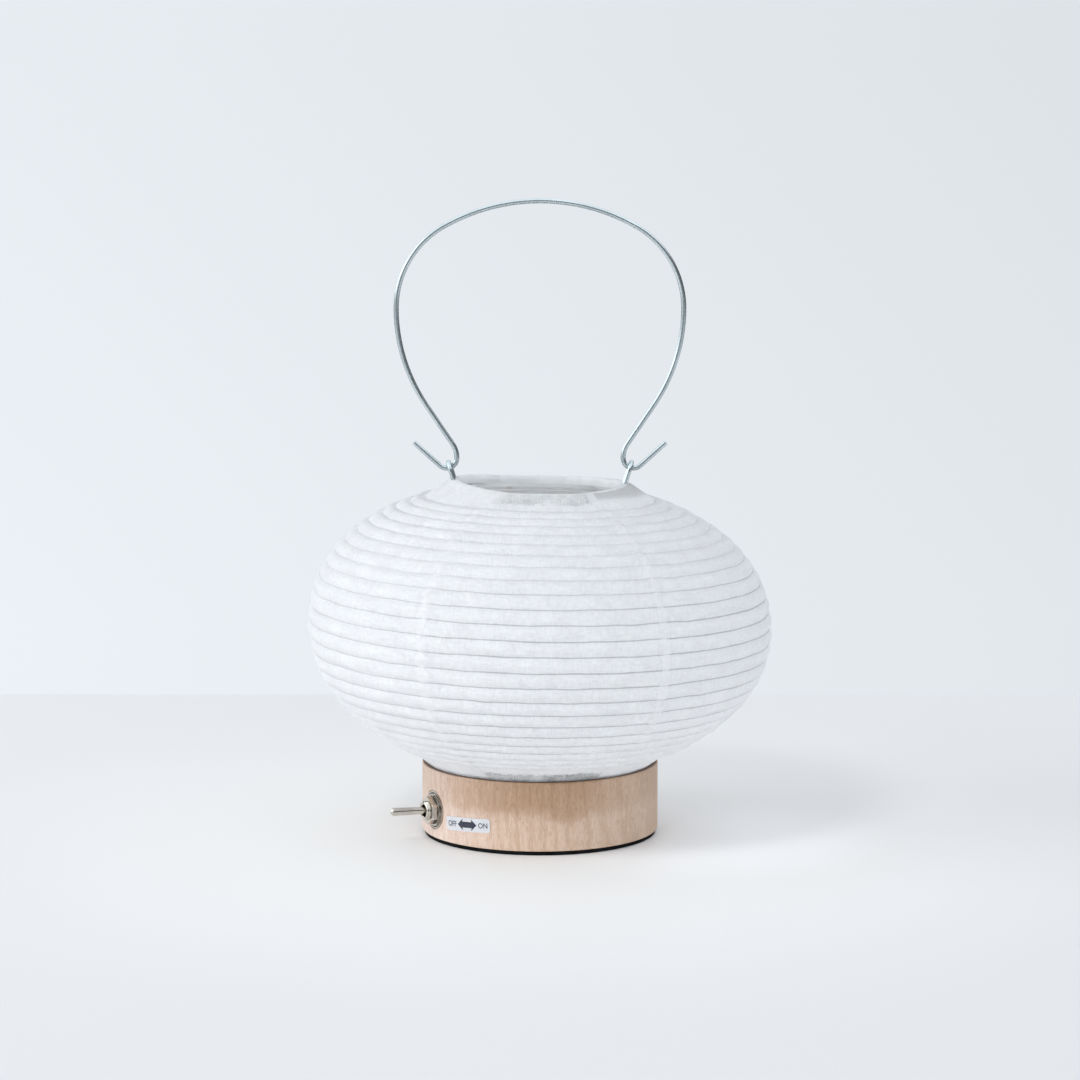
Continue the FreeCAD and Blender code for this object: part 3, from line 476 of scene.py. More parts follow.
def board_finish():
    """White-lacquered circuit board, with faint tracks under the lacquer."""
    made, tree, shader = finish("board", Specular_IOR_Level=0.5)
    place = object_place(tree)
    marks = use(tree, SKIN, place, 300.0)
    apart = parts_of(tree, place)
    tracks = None
    for axis, pitch in (("X", 1900.0), ("Y", 1500.0)):
        line = remap(tree, work(tree, "SINE", times(tree, apart[axis], pitch)), 0.86, 0.95)
        tracks = line if tracks is None else work(tree, "MAXIMUM", tracks, line)
    faint = times(tree, tracks, 0.35)
    tint = blend(tree, faint, rgb(0.76, 0.78, 0.76), rgb(0.62, 0.66, 0.62))
    rough = remap(tree, marks["Tooth"], 0.3, 0.7, 0.3, 0.42)
    feed(tree, shader, Base_Color=tint, Roughness=rough, Normal=bump(tree, tracks, 0.00003, 0.4))
    return made


def bamboo_finish():
    """Bleached split bamboo: pale straw, with long fibres and darker knots."""
    made, tree, shader = finish("bamboo", Specular_IOR_Level=0.4)
    lie = stretched(tree, own_map(tree), (14.0, 9.0, 1.0))
    fibre = noise(tree, stretched(tree, lie, (0.2, 6.0, 1.0)), 5.0, 3.0, 0.6)
    straw = blend(tree, remap(tree, fibre, 0.3, 0.7), rgb(0.74, 0.735, 0.715),
                  rgb(0.82, 0.815, 0.80))
    straw = blend(tree, spread(tree, "knot"), straw, rgb(0.64, 0.62, 0.57))
    feed(tree, shader, Base_Color=straw, Roughness=remap(tree, fibre, 0.3, 0.7, 0.4, 0.55))
    return made


FINISH = {
    "washi": washi_finish(),
    "hem_paper": hem_finish(),
    "maple": maple_finish(),
    "bamboo": bamboo_finish(),
    "board": board_finish(),
    "cell_1": cell_finish("cell_film_1", 1.0),
    "cell_2": cell_finish("cell_film_2", -1.0),
    "wire": metal_finish("galvanised_wire", rgb(0.64, 0.72, 0.74), rgb(0.50, 0.57, 0.59),
                         0.24, 0.32, 40.0, 0.0),
    "nickel": metal_finish("nickel", rgb(0.68, 0.64, 0.575), rgb(0.56, 0.52, 0.46),
                           0.1, 0.22, 300.0, 0.000003),
    "washer": washer_finish(),
    "steel": metal_finish("screw_steel", rgb(0.56, 0.56, 0.56), rgb(0.38, 0.38, 0.39),
                          0.24, 0.42, 500.0),
    "spring": metal_finish("spring_steel", rgb(0.62, 0.60, 0.55), rgb(0.44, 0.42, 0.38),
                           0.2, 0.38, 600.0),
    "contact": metal_finish("contact_metal", rgb(0.74, 0.70, 0.60), rgb(0.56, 0.52, 0.44),
                            0.22, 0.4, 400.0),
    "foam": skin_finish("foam_rubber", rgb(0.003, 0.003, 0.003), rgb(0.008, 0.008, 0.009),
                        0.8, 0.95, 260.0, 0.00015, Specular_IOR_Level=0.08),
    "black": skin_finish("black_plastic", rgb(0.012, 0.012, 0.013), rgb(0.025, 0.025, 0.026),
                         0.36, 0.5, 240.0, 0.00003, Specular_IOR_Level=0.45),
    "epoxy": skin_finish("board_black", rgb(0.02, 0.02, 0.022), rgb(0.05, 0.05, 0.052),
                         0.4, 0.6, 500.0, 0.00003, Specular_IOR_Level=0.45),
    "phosphor": skin_finish("led_phosphor", rgb(0.86, 0.66, 0.10), rgb(0.92, 0.74, 0.20),
                            0.35, 0.5, 900.0, 0.00002, Specular_IOR_Level=0.5),
    "dome": skin_finish("frosted_plastic", rgb(0.84, 0.85, 0.85), rgb(0.90, 0.90, 0.90),
                        0.42, 0.58, 300.0, 0.00003, Specular_IOR_Level=0.5,
                        Transmission_Weight=0.55, IOR=1.49),
    "lead": skin_finish("lead_insulation", rgb(0.34, 0.02, 0.018), rgb(0.42, 0.03, 0.024),
                        0.3, 0.44, 400.0, 0.00002, Specular_IOR_Level=0.5),
    "label": skin_finish("label_film", rgb(0.453, 0.461, 0.486), rgb(0.491, 0.497, 0.514),
                         0.3, 0.42, 500.0, 0.00002, Specular_IOR_Level=0.5),
    "ink": skin_finish("label_ink", rgb(0.016, 0.018, 0.032), rgb(0.03, 0.033, 0.05),
                       0.35, 0.5, 700.0, 0.00001, Specular_IOR_Level=0.4),
}

CAD_FINISH = {
    "maple": ("wood_base",),
    "black": ("bottom_cover", "battery_holder", "switch_housing", "switch_rocker"),
    "steel": ("cover_screws", "holder_screws", "board_screws"),
    "cell_1": ("battery_cell_1",),
    "cell_2": ("battery_cell_2",),
    "spring": ("battery_springs",),
    "contact": ("contact_plates", "switch_terminals"),
    "board": ("led_board",),
    "phosphor": ("led_emitter",),
    "dome": ("led_dome",),
    "epoxy": ("board_components",),
    "nickel": ("switch_frame", "switch_nut", "switch_lever"),
    "washer": ("switch_washer", "switch_lock_washer"),
    "lead": ("hookup_wires",),
    "wire": ("bottom_ring", "top_ring", "handle"),
}


def coat(piece, finish_name):
    """Gives the piece one finish all over."""
    piece.data.materials.clear()
    piece.data.materials.append(FINISH[finish_name])


for finish_name, names in CAD_FINISH.items():
    for name in names:
        coat(nodes[name], finish_name)


# Making of pieces

def take(piece):
    """Selects one piece alone and makes it the active one."""
    if bpy.context.object and bpy.context.object.mode != "OBJECT":
        bpy.ops.object.mode_set(mode="OBJECT")
    bpy.ops.object.select_all(action="DESELECT")
    if piece:
        piece.select_set(True)
        bpy.context.view_layer.objects.active = piece


def named(name):
    """Names the object that was just added."""
    piece = bpy.context.object
    piece.name = piece.data.name = name
    return piece


def put_down(piece):
    """Puts the piece's place into its mesh."""
    take(piece)
    bpy.ops.object.transform_apply(location=True, rotation=True, scale=True)


def modify(piece, kind, **settings):
    """Adds a modifier and applies it."""
    take(piece)
    made = piece.modifiers.new(kind.lower(), kind)
    for key, value in settings.items():
        setattr(made, key, value)
    bpy.ops.object.modifier_apply(modifier=made.name)


def join(pieces, name):
    """Several objects as one."""
    take(pieces[0])
    for piece in pieces[1:]:
        piece.select_set(True)
    bpy.ops.object.join()
    return named(name)


def smooth(piece, degrees):
    """Smooths the faces that meet at less than an angle."""
    take(piece)
    bpy.ops.object.shade_smooth_by_angle(angle=math.radians(degrees))


def dress(piece, finish_name, body, replaced):
    """Gives the piece its finish, the body it rides on and the nodes it stands for."""
    coat(piece, finish_name)
    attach(piece, body)
    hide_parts(*replaced)
    return piece


def spots_of(piece):
    """The place of each vertex."""
    return np.array([vertex.co for vertex in piece.data.vertices])


def set_spots(piece, spots):
    piece.data.vertices.foreach_set("co", np.ascontiguousarray(spots, dtype=np.float32).ravel())
    piece.data.update()


def carry(piece, name, values):
    """Stores a value for each vertex."""
    layer = piece.data.attributes.new(name, "FLOAT", "POINT")
    layer.data.foreach_set("value", np.ascontiguousarray(values, dtype=np.float32).ravel())


def set_map(piece, flat):
    """Gives the piece a map in decimetres, from a flat place for each vertex."""
    corners = np.empty(len(piece.data.loops), dtype=np.int32)
    piece.data.loops.foreach_get("vertex_index", corners)
    layer = piece.data.uv_layers[0]
    layer.data.foreach_set("uv", np.ascontiguousarray(flat[corners] * 10, dtype=np.float32).ravel())


def smoothstep(low, high, value):
    share = np.clip((value - low) / (high - low), 0, 1)
    return share * share * (3 - 2 * share)


def lattice(seed, across, along, u, v):
    """Smooth random values from -1 to 1 that close where u, once round the shade, closes."""
    grid = np.random.default_rng(seed).uniform(-1, 1, (along + 2, across))
    x, y = (u % 1.0) * across, np.clip(v, 0, 1) * along
    i, j = np.floor(x).astype(int), np.floor(y).astype(int)
    fx, fy = smoothstep(0, 1, x - i), smoothstep(0, 1, y - j)
    here, there = i % across, (i + 1) % across
    low = grid[j, here] * (1 - fx) + grid[j, there] * fx
    high = grid[j + 1, here] * (1 - fx) + grid[j + 1, there] * fx
    return low * (1 - fy) + high * fy


# The shade

def run_along(line):
    """How far each point of a line is from its start."""
    return np.concatenate([[0], np.cumsum(np.hypot(*np.diff(line, axis=0).T))])


def resample(line, count):
    """Points at equal steps along a line, and how far along it they are."""
    run = run_along(line)
    stops = np.linspace(0, run[-1], count)
    return np.stack([np.interp(stops, run, line[:, i]) for i in (0, 1)], 1), stops


def quarter(rise, fullness, inner_r):
    """Radius and height of a quarter of the section, from the widest crease to a given radius."""
    turn = np.linspace(0, math.acos((inner_r / CREASE_R) ** (fullness / 2)), 400)
    return np.stack([CREASE_R * np.cos(turn) ** (2 / fullness),
                     rise * np.sin(turn) ** (2 / fullness)], 1)


LOWER = quarter(LOWER_DROP, LOWER_FULLNESS, BOTTOM_CREASE_R)
UPPER = quarter(UPPER_RISE, UPPER_FULLNESS, TOP_CREASE_R)
EQUATOR_Z = WOOD_TOP + FOOT_RISE + LOWER[-1, 1]
MOUTH_Z = EQUATOR_Z + UPPER[-1, 1] + COLLAR_RISE
SECTION = np.concatenate([LOWER[::-1] * (1, -1), UPPER[1:]]) + (0, EQUATOR_Z)
CREASES = resample(SECTION, FOLDS + 1)[0]

LEAN_Z = np.array([WOOD_TOP, CREASES[0, 1], EQUATOR_Z, CREASES[-1, 1], MOUTH_Z])
LEAN = np.array([0.0, 0.008, 0.018, 0.024, 0.0])


def lean(z):
    """How much the shade slopes down to the right at a height."""
    return np.interp(z, LEAN_Z, LEAN)


def mouth_lift(around):
    """How far the mouth's edge stands off its mean height: it is bent up at the two ears."""
    lift = 0.27 + 0.82 * np.cos(2 * around) - 0.8 * np.cos(around)
    deepest = 0.4
    return np.where(lift > 0, lift, deepest * np.tanh(lift / deepest)) * MM


def outward(a, b):
    """The outward direction of a run of the section that goes up from a to b."""
    run = np.asarray(b) - np.asarray(a)
    return np.array([run[1], -run[0]]) / np.hypot(*run)


def paper_rows():
    """The paper's section from foot to mouth. Each row has its place and outward side, and how much
    it swells, how far it is out of a crease, how much it crimps, and how far up collar or foot."""
    corner, mouth = (FOOT_R, WOOD_TOP), (MOUTH_R, MOUTH_Z)
    runs = [((FOOT_R, FOOT_Z), corner, (0.0, 0.4, 0.8), "seat"),
            (corner, CREASES[0], np.linspace(0, 1, 13)[:-1], "foot")]
    runs += [(a, b, FOLD_STEPS, "fold") for a, b in zip(CREASES[:-1], CREASES[1:])]
    runs += [(CREASES[-1], mouth, np.linspace(0, 1, 13), "collar")]
    rows, last = [], None
    for a, b, shares, kind in runs:
        a, b = np.asarray(a), np.asarray(b)
        away = outward(a, b)
        for share in shares:
            side = away if share or last is None else (away + last) / np.linalg.norm(away + last)
            arch = 4 * share * (1 - share)
            swell = arch if kind == "fold" else 0.0
            crown = {"seat": 1.0, "foot": min(1.0, 3 * (1 - share)), "fold": arch,
                     "collar": min(1.0, 3 * share)}[kind]
            crimp = {"seat": 0.0, "foot": share, "fold": 1.0, "collar": 1 - 0.6 * share}[kind]
            collar = share if kind == "collar" else 0.0
            foot = 1 - share if kind == "foot" else 0.0
            rows.append((*(a + (b - a) * share), *side, swell, crown, crimp, collar, foot))
        last = away
    return np.array(rows)


ROWS = paper_rows()
ROW_RUN = run_along(ROWS[:, :2])


def gore_turn(number, u, radius, lap):
    """The turn of a gore's points from its own middle, and round the shade."""
    turn = -PANEL_TURN / 2 + u * (PANEL_TURN + lap / radius)
    return turn, FRONT + (number - 1) * PANEL_TURN + turn


def glue_marks(number, once, v, u, collar, foot):
    """Where glue has soaked in: both ends of the front gore, and a line at each gore's foot."""
    ragged = 0.05 * lattice(RAGGED, 90, 1, once, 0 * v)
    ragged = ragged + 0.035 * lattice(FINE_RAGGED, 240, 1, once, 0 * v)
    mottle = np.clip(0.7 + 0.6 * lattice(MOTTLE, 80, 40, once, v), 0.12, 1)
    marks = 0.5 * mottle * smoothstep(0.84, 0.9, foot + ragged)
    if number == FRONT_PANEL:
        inside = smoothstep(0.02, 0.09, u + ragged) * smoothstep(0.02, 0.09, 1 - u - ragged)
        top = smoothstep(0.36, 0.44, collar + ragged)
        bottom = smoothstep(0.42, 0.5, foot + 1.4 * ragged)
        marks = np.maximum(marks, 0.46 * mottle * inside * top)
        marks = np.maximum(marks, (0.45 + 0.55 * mottle) * inside * bottom)
    return marks


def painted_crease_shade(number, u, around, height, crown, collar, lap, tuck):
    """How much painted shade the paper gets in and near its creases: less above and at the left,
    where the light falls, and less on a lap; and painted shade on the collar's facet by the right
    ear, which faces away from the light."""
    faint = 0.65 * smoothstep(EQUATOR_Z + 8 * MM, EQUATOR_Z + 34 * MM, height)
    faint = 1 - (1 - faint) * (1 - 0.45 * smoothstep(0.1, 0.9, -np.cos(around)))
    faint = np.maximum(faint, 0.55 * lap * (1 - 0.6 * tuck))
    pale = np.minimum(crown, CREASE_DEPTH)
    pale = pale + (CREASE_DEPTH - pale) * faint
    # Painted shade on the collar's facet by the right ear
    if number == RIGHT_PANEL:
        pale = pale - 0.092 * smoothstep(0.5 - 0.35 * u, 0.85 - 0.3 * u, collar)
    return pale


def paper_panel(number):
    """One gore of the shade: a sheet over the hoops, creased between them, lapped on the next."""
    take(None)
    count = len(ROWS) - 1
    bpy.ops.mesh.primitive_grid_add(x_subdivisions=COLUMNS, y_subdivisions=count, size=1.0)
    piece = named(f"paper_panel_{number}_washi")
    spots = np.empty(len(piece.data.vertices) * 3, dtype=np.float32)
    piece.data.vertices.foreach_get("co", spots)
    u, v = spots[0::3] + 0.5, spots[1::3] + 0.5
    row = np.round(v * count).astype(int)
    radius, height, side_r, side_z, swell, crown, crimp, collar, foot = ROWS[row].T
    turn, around = gore_turn(number, u, radius, LAP)
    once = around / (2 * math.pi)
    over = (turn - PANEL_TURN / 2) * radius
    edge = over + 0.45 * MM * lattice(LAP_EDGE, 240, 3 * FOLDS, once, v)
    lap = smoothstep(-0.7 * MM, 0.3 * MM, edge)
    tuck = smoothstep(LAP - 1.2 * MM, LAP, over)

    # Fullness between the hoops, puckers in the creases and at the seams, stiff lapped seams
    crease = 1 - crown
    seam = np.minimum(np.abs((turn + PANEL_TURN / 2) * radius - LAP / 2), np.abs(over - LAP / 2))
    seam_near = np.exp(-(seam / (3.5 * MM)) ** 2)
    bulge = FOLD_BULGE * swell * (1 + 0.15 * lattice(BULGE, 54, 2 * FOLDS, once, v))
    pucker = 0.06 * lattice(PUCKER, 200, FOLDS, once, v) * (0.4 + 0.6 * crease)
    pucker += 0.05 * lattice(FINE_PUCKER, 360, 2 * FOLDS, once, v) * (0.3 + 0.7 * crease)
    at_seam = seam_near * (0.2 + 0.8 * crease)
    pucker += 0.14 * lattice(SEAM_PUCKER, 300, 5 * FOLDS, once, v) * at_seam
    pucker += 0.20 * collar * lattice(COLLAR_PUCKER, 30, 3 * FOLDS, once, v)
    stiff = 0.36 * crease ** 1.5 * np.exp(-(seam / (2.0 * MM)) ** 2)
    push = bulge + (pucker + stiff) * crimp * MM + LAP_LIFT * (lap - 1.5 * tuck)
    wander = 0.17 * MM * crimp * lattice(WANDER, 70, 2 * FOLDS, once, v)

    out = radius + side_r * push - side_z * wander
    up = height + side_z * push + side_r * wander
    x = out * np.cos(around)
    up = up - lean(up) * x + collar * mouth_lift(around)
    set_spots(piece, np.stack([x, out * np.sin(around), up], 1))
    # The crown attribute carries the painted crease shade
    carry(piece, "crown", painted_crease_shade(number, u, around, height, crown, collar, lap, tuck))
    white = np.clip(0.72 + 0.5 * lattice(LAP_WHITE, 260, 4 * FOLDS, once, v), 0.2, 1)
    carry(piece, "lap", lap * np.clip(crimp, 0, 1) * white)
    carry(piece, "glue", glue_marks(number, once, v, u, collar, foot))
    set_map(piece, np.stack([turn * radius + number * 0.11, ROW_RUN[row] + number * 0.17], 1))
    smooth(piece, PAPER_SMOOTH)
    modify(piece, "SOLIDIFY", thickness=PAPER_T, offset=-1.0)
    smooth(piece, PAPER_SMOOTH)
    dress(piece, "washi", "base", [f"paper_panel_{number}"])
    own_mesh(piece)
    return piece


panels = [paper_panel(number) for number in range(1, PANELS + 1)]


def hoop(number):
    """A split-bamboo hoop with swollen knots and a lapped joint, leaning as the shade does."""
    name = f"rib_{number:02d}"
    low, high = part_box(name)
    height = (low.z + high.z) / 2
    thick = (high.z - low.z) / 2
    reach = (high.x - low.x) / 2 - thick
    take(None)
    bpy.ops.mesh.primitive_torus_add(major_radius=reach, minor_radius=thick * HOOP_SLIM,
                                     major_segments=144, minor_segments=10,
                                     location=(0, 0, height),
                                     rotation=(0, float(lean(height)), 0))
    piece = named(f"{name}_bamboo")
    put_down(piece)
    rng = np.random.default_rng(HOOP_SEED + number)
    spots = spots_of(piece)
    turn = np.arctan2(spots[:, 1], spots[:, 0])
    knot = np.zeros(len(spots))
    joint_turn = math.pi / 2 + rng.uniform(-0.35, 0.35)
    places = [(joint_turn, JOINT_HALF, JOINT_SWELL)]
    places += [(rng.uniform(-math.pi, math.pi), KNOT_HALF, KNOT_SWELL) for _ in range(KNOTS)]
    for place, half, swell in places:
        gap = np.abs((turn - place + math.pi) % (2 * math.pi) - math.pi) * reach
        inside = gap < half
        if half == KNOT_HALF:
            knot = np.maximum(knot, np.clip(1 - gap / half, 0, 1))
        for vertex, chosen in zip(piece.data.vertices, inside):
            vertex.select = bool(chosen)
        bpy.ops.object.mode_set(mode="EDIT")
        bpy.ops.mesh.select_mode(type="VERT")
        bpy.ops.transform.shrink_fatten(value=swell)
        bpy.ops.object.mode_set(mode="OBJECT")
        for parts in (piece.data.vertices, piece.data.edges, piece.data.polygons):
            for part in parts:
                part.select = False
    carry(piece, "knot", knot)
    take(piece)
    bpy.ops.object.shade_smooth()
    dress(piece, "bamboo", f"{name}_hoop", [name])
    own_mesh(piece)
    return piece


hoops = [hoop(number) for number in range(1, FOLDS + 1)]


def hem_strip(number, line, rows, seed, lifted):
    """A strip of glued paper along the width of one gore, its end lapped on the next strip."""
    take(None)
    bpy.ops.mesh.primitive_grid_add(x_subdivisions=60, y_subdivisions=rows - 1, size=1.0)
    piece = named("strip")
    spots = spots_of(piece)
    u, v = spots[:, 0] + 0.5, spots[:, 1] + 0.5
    points, run = resample(line, rows)
    row = np.round(v * (rows - 1)).astype(int)
    along = np.gradient(points, axis=0)
    along /= np.linalg.norm(along, axis=1)[:, None]
    radius, height = points[row].T
    turn, around = gore_turn(number, u, radius, HEM_LAP)
    over = smoothstep(-0.6 * MM, 0.2 * MM, (turn - PANEL_TURN / 2) * radius)
    push = 0.10 * MM * over + 0.08 * MM * lattice(seed, 40, 2, around / (2 * math.pi), v)
    out = radius + along[row, 1] * push
    up = height - along[row, 0] * push + lifted * mouth_lift(around)
    set_spots(piece, np.stack([out * np.cos(around), out * np.sin(around), up], 1))
    carry(piece, "double", over)
    set_map(piece, np.stack([turn * radius + seed * 0.01, run[row]], 1))
    take(piece)
    bpy.ops.object.shade_smooth()
    return piece


def hem(name, line, rows, seed, lifted):
    """The six strips of a hem as one piece, with their thickness."""
    line = np.array(line) * MM
    strips = [hem_strip(number, line, rows, seed + STRIP_STEP * number, lifted)
              for number in range(1, PANELS + 1)]
    piece = join(strips, name)
    modify(piece, "SOLIDIFY", thickness=PAPER_T, offset=0.0)
    return piece


def top_hem():
    """Paper folded over the top wire, down inside the mouth and down behind the collar."""
    piece = hem("top_hem_paper", TOP_HEM_LINE, TOP_HEM_ROWS, TOP_HEM_SEED, 1.0)
    return dress(piece, "hem_paper", "crown", ["top_hem"])


def bottom_hem():
    """Paper band inside the bottom wire, in the seat."""
    piece = hem("bottom_hem_paper", SEAT_HEM_LINE, SEAT_HEM_ROWS, SEAT_HEM_SEED, 0.0)
    dress(piece, "hem_paper", "base", ["bottom_hem"])
    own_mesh(piece)
    return piece


mouth_hem, seat_hem = top_hem(), bottom_hem()


# The base

def foam_foot():
    """Foam rubber disc with a softly rounded edge and three holes over the cover's screws."""
    low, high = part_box("foot_pad")
    thick = high.z - low.z
    take(None)
    bpy.ops.mesh.primitive_cylinder_add(vertices=160, radius=high.x, depth=thick,
                                        location=(0, 0, low.z + thick / 2))
    piece = named("foot_pad_foam")
    put_down(piece)
    drills = []
    for turn in np.radians(SCREW_TURNS):
        place = (SCREW_CIRCLE_R * math.cos(turn), SCREW_CIRCLE_R * math.sin(turn), thick / 2)
        take(None)
        bpy.ops.mesh.primitive_cylinder_add(vertices=40, radius=SCREW_HOLE_R, depth=3 * thick,
                                            location=place)
        drills.append(named("drill"))
    drill = join(drills, "drill")
    modify(piece, "BOOLEAN", operation="DIFFERENCE", object=drill, solver="EXACT")
    bpy.data.objects.remove(drill)
    modify(piece, "BEVEL", width=FOAM_ROUND, segments=3, limit_method="ANGLE",
           angle_limit=math.radians(FOAM_SMOOTH))
    smooth(piece, FOAM_SMOOTH)
    dress(piece, "foam", "base", ["foot_pad"])
    return piece


foam_foot()


def to_switch(piece):
    """Turns a piece made upright at the origin so that it points out of the base at the switch."""
    lie = Matrix.Rotation(SWITCH_TURN, 4, "Z") @ Matrix.Rotation(math.pi / 2, 4, "Y")
    piece.matrix_world = Matrix.Translation((0, 0, SWITCH_Z)) @ lie
    put_down(piece)


def select_ring(piece, low, high):
    """Selects the vertices between two heights, in edit mode."""
    bpy.ops.object.mode_set(mode="EDIT")
    bpy.ops.mesh.select_mode(type="VERT")
    bpy.ops.mesh.select_all(action="DESELECT")
    bpy.ops.object.mode_set(mode="OBJECT")
    for vertex in piece.data.vertices:
        vertex.select = low <= vertex.co.z <= high
    bpy.ops.object.mode_set(mode="EDIT")


def threaded_barrel():
    """The switch's bushing: a thread outside, a smooth bore, a key slot and chamfered mouths."""
    crest, root, pitch = THREAD_CREST_R, THREAD_ROOT_R, THREAD_PITCH
    bore, mouth, near = BORE_R, BORE_R + BORE_CHAMFER, 0.02 * MM
    turns = int((BARREL_END - BARREL_START) / pitch)
    take(None)
    bpy.ops.mesh.primitive_cylinder_add(vertices=56, radius=root, depth=pitch,
                                        end_fill_type="NOTHING")
    piece = named("switch_bushing_thread")
    bpy.ops.object.mode_set(mode="EDIT")
    bpy.ops.mesh.select_all(action="SELECT")
    bpy.ops.mesh.bisect(plane_co=(0, 0, 0), plane_no=(0, 0, 1))
    select_ring(piece, -0.01 * pitch, 0.01 * pitch)
    bpy.ops.transform.resize(value=(crest / root, crest / root, 1))
    bpy.ops.object.mode_set(mode="OBJECT")
    modify(piece, "ARRAY", count=turns, relative_offset_displace=(0, 0, 1),
           use_merge_vertices=True, merge_threshold=0.01 * MM)
    heights = [vertex.co.z for vertex in piece.data.vertices]
    top, bottom = max(heights), min(heights)
    for level, inward in ((top, -BORE_CHAMFER), (bottom, BORE_CHAMFER)):
        select_ring(piece, level - near, level + near)
        bpy.ops.mesh.extrude_region_move(TRANSFORM_OT_translate={"value": (0, 0, 0)})
        bpy.ops.transform.resize(value=(mouth / root, mouth / root, 1))
        bpy.ops.mesh.extrude_region_move(TRANSFORM_OT_translate={"value": (0, 0, inward)})
        bpy.ops.transform.resize(value=(bore / mouth, bore / mouth, 1))
        bpy.ops.object.mode_set(mode="OBJECT")
    select_ring(piece, bottom - 1, top + 1)
    bpy.ops.mesh.select_all(action="DESELECT")
    bpy.ops.mesh.select_non_manifold(extend=False)
    bpy.ops.mesh.bridge_edge_loops()
    bpy.ops.mesh.select_all(action="SELECT")
    bpy.ops.mesh.normals_make_consistent(inside=False)
    bpy.ops.object.mode_set(mode="OBJECT")
    take(None)
    bpy.ops.mesh.primitive_cube_add(size=1, location=(-crest, 0, 0), scale=KEY_SLOT)
    slot = named("key_slot")
    put_down(slot)
    modify(piece, "BOOLEAN", operation="DIFFERENCE", object=slot, solver="EXACT")
    bpy.data.objects.remove(slot)
    shift = BARREL_END - top
    for vertex in piece.data.vertices:
        vertex.co.z += shift
    to_switch(piece)
    smooth(piece, THREAD_SMOOTH)
    return dress(piece, "nickel", "base", ["switch_bushing"])


threaded_barrel()


def cut_upright(piece):
    """Cuts a flat piece into narrow upright strips, so that it can follow the round base."""
    take(piece)
    bpy.ops.object.mode_set(mode="EDIT")
    for cut in np.arange(-STRIPS_REACH, STRIPS_REACH + 0.01, STRIP_W):
        bpy.ops.mesh.select_all(action="SELECT")
        bpy.ops.mesh.bisect(plane_co=(float(cut), 0, 0), plane_no=(1, 0, 0))
    bpy.ops.object.mode_set(mode="OBJECT")


def on_label(piece, off):
    """Wraps a flat piece, drawn in millimetres on the label's own plane, onto the round base."""
    spots = spots_of(piece)
    across = spots[:, 0] * math.cos(LABEL_TILT) - spots[:, 1] * math.sin(LABEL_TILT)
    up = spots[:, 0] * math.sin(LABEL_TILT) + spots[:, 1] * math.cos(LABEL_TILT)
    turn = LABEL_TURN + across * MM / LABEL_R
    radius = BASE_R + (off + spots[:, 2]) * MM
    set_spots(piece, np.stack([radius * np.cos(turn), radius * np.sin(turn), LABEL_Z + up * MM], 1))


def printed_word(word, middle, width, height):
    """A word of the label, as a mesh of the given size in millimetres."""
    take(None)
    bpy.ops.object.text_add()
    piece = bpy.context.object
    piece.data.body = word
    piece.data.align_x, piece.data.align_y = "CENTER", "CENTER"
    piece.data.extrude, piece.data.offset = PRINT_T, WORD_WEIGHT
    piece.data.resolution_u = 5
    bpy.ops.object.convert(target="MESH")
    spots = spots_of(piece)
    low, high = spots.min(0), spots.max(0)
    size = high - low
    flat = (spots - (low + high) / 2) * (width / size[0], height / size[1], 1.0)
    set_spots(piece, flat + (middle, 0.0, 0.0))
    return piece


def printed_arrow():
    """A double arrow with swept barbs, drawn as a flat outline."""
    outline = list(ARROW_HEAD) + [(-x, y) for x, y in reversed(ARROW_HEAD)]
    curve = bpy.data.curves.new("arrow", "CURVE")
    curve.dimensions, curve.fill_mode, curve.extrude = "2D", "BOTH", PRINT_T
    line = curve.splines.new("POLY")
    line.points.add(len(outline) - 1)
    for point, (x, y) in zip(line.points, outline):
        point.co = (x, y, 0, 1)
    line.use_cyclic_u = True
    piece = bpy.data.objects.new("arrow", curve)
    bpy.context.collection.objects.link(piece)
    take(piece)
    bpy.ops.object.convert(target="MESH")
    return bpy.context.object


def label_film():
    """The sticker itself, with rounded corners."""
    take(None)
    bpy.ops.mesh.primitive_plane_add(size=1.0)
    piece = named("switch_label_film")
    piece.scale = (LABEL_W, LABEL_H, 1.0)
    put_down(piece)
    bpy.ops.object.mode_set(mode="EDIT")
    bpy.ops.mesh.select_all(action="SELECT")
    bpy.ops.mesh.bevel(offset=LABEL_CORNER, segments=6, affect="VERTICES")
    bpy.ops.object.mode_set(mode="OBJECT")
    cut_upright(piece)
    on_label(piece, LABEL_GAP)
    modify(piece, "SOLIDIFY", thickness=(LABEL_T - LABEL_GAP) * MM, offset=1.0)
    smooth(piece, FILM_SMOOTH)
    return dress(piece, "label", "base", ["switch_label"])


label_film()


def label_print():
    """The dark print of the label: OFF, a double arrow, ON."""
    off, arrow, on = printed_word(*OFF_WORD), printed_arrow(), printed_word(*ON_WORD)
    arrow.data.transform(Matrix.Translation((ARROW_MIDDLE, 0, 0)))
    piece = join([off, arrow, on], "switch_label_print")
    cut_upright(piece)
    on_label(piece, LABEL_T + PRINT_GAP)
    coat(piece, "ink")
    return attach(piece, "base")


label_print()


# Studio

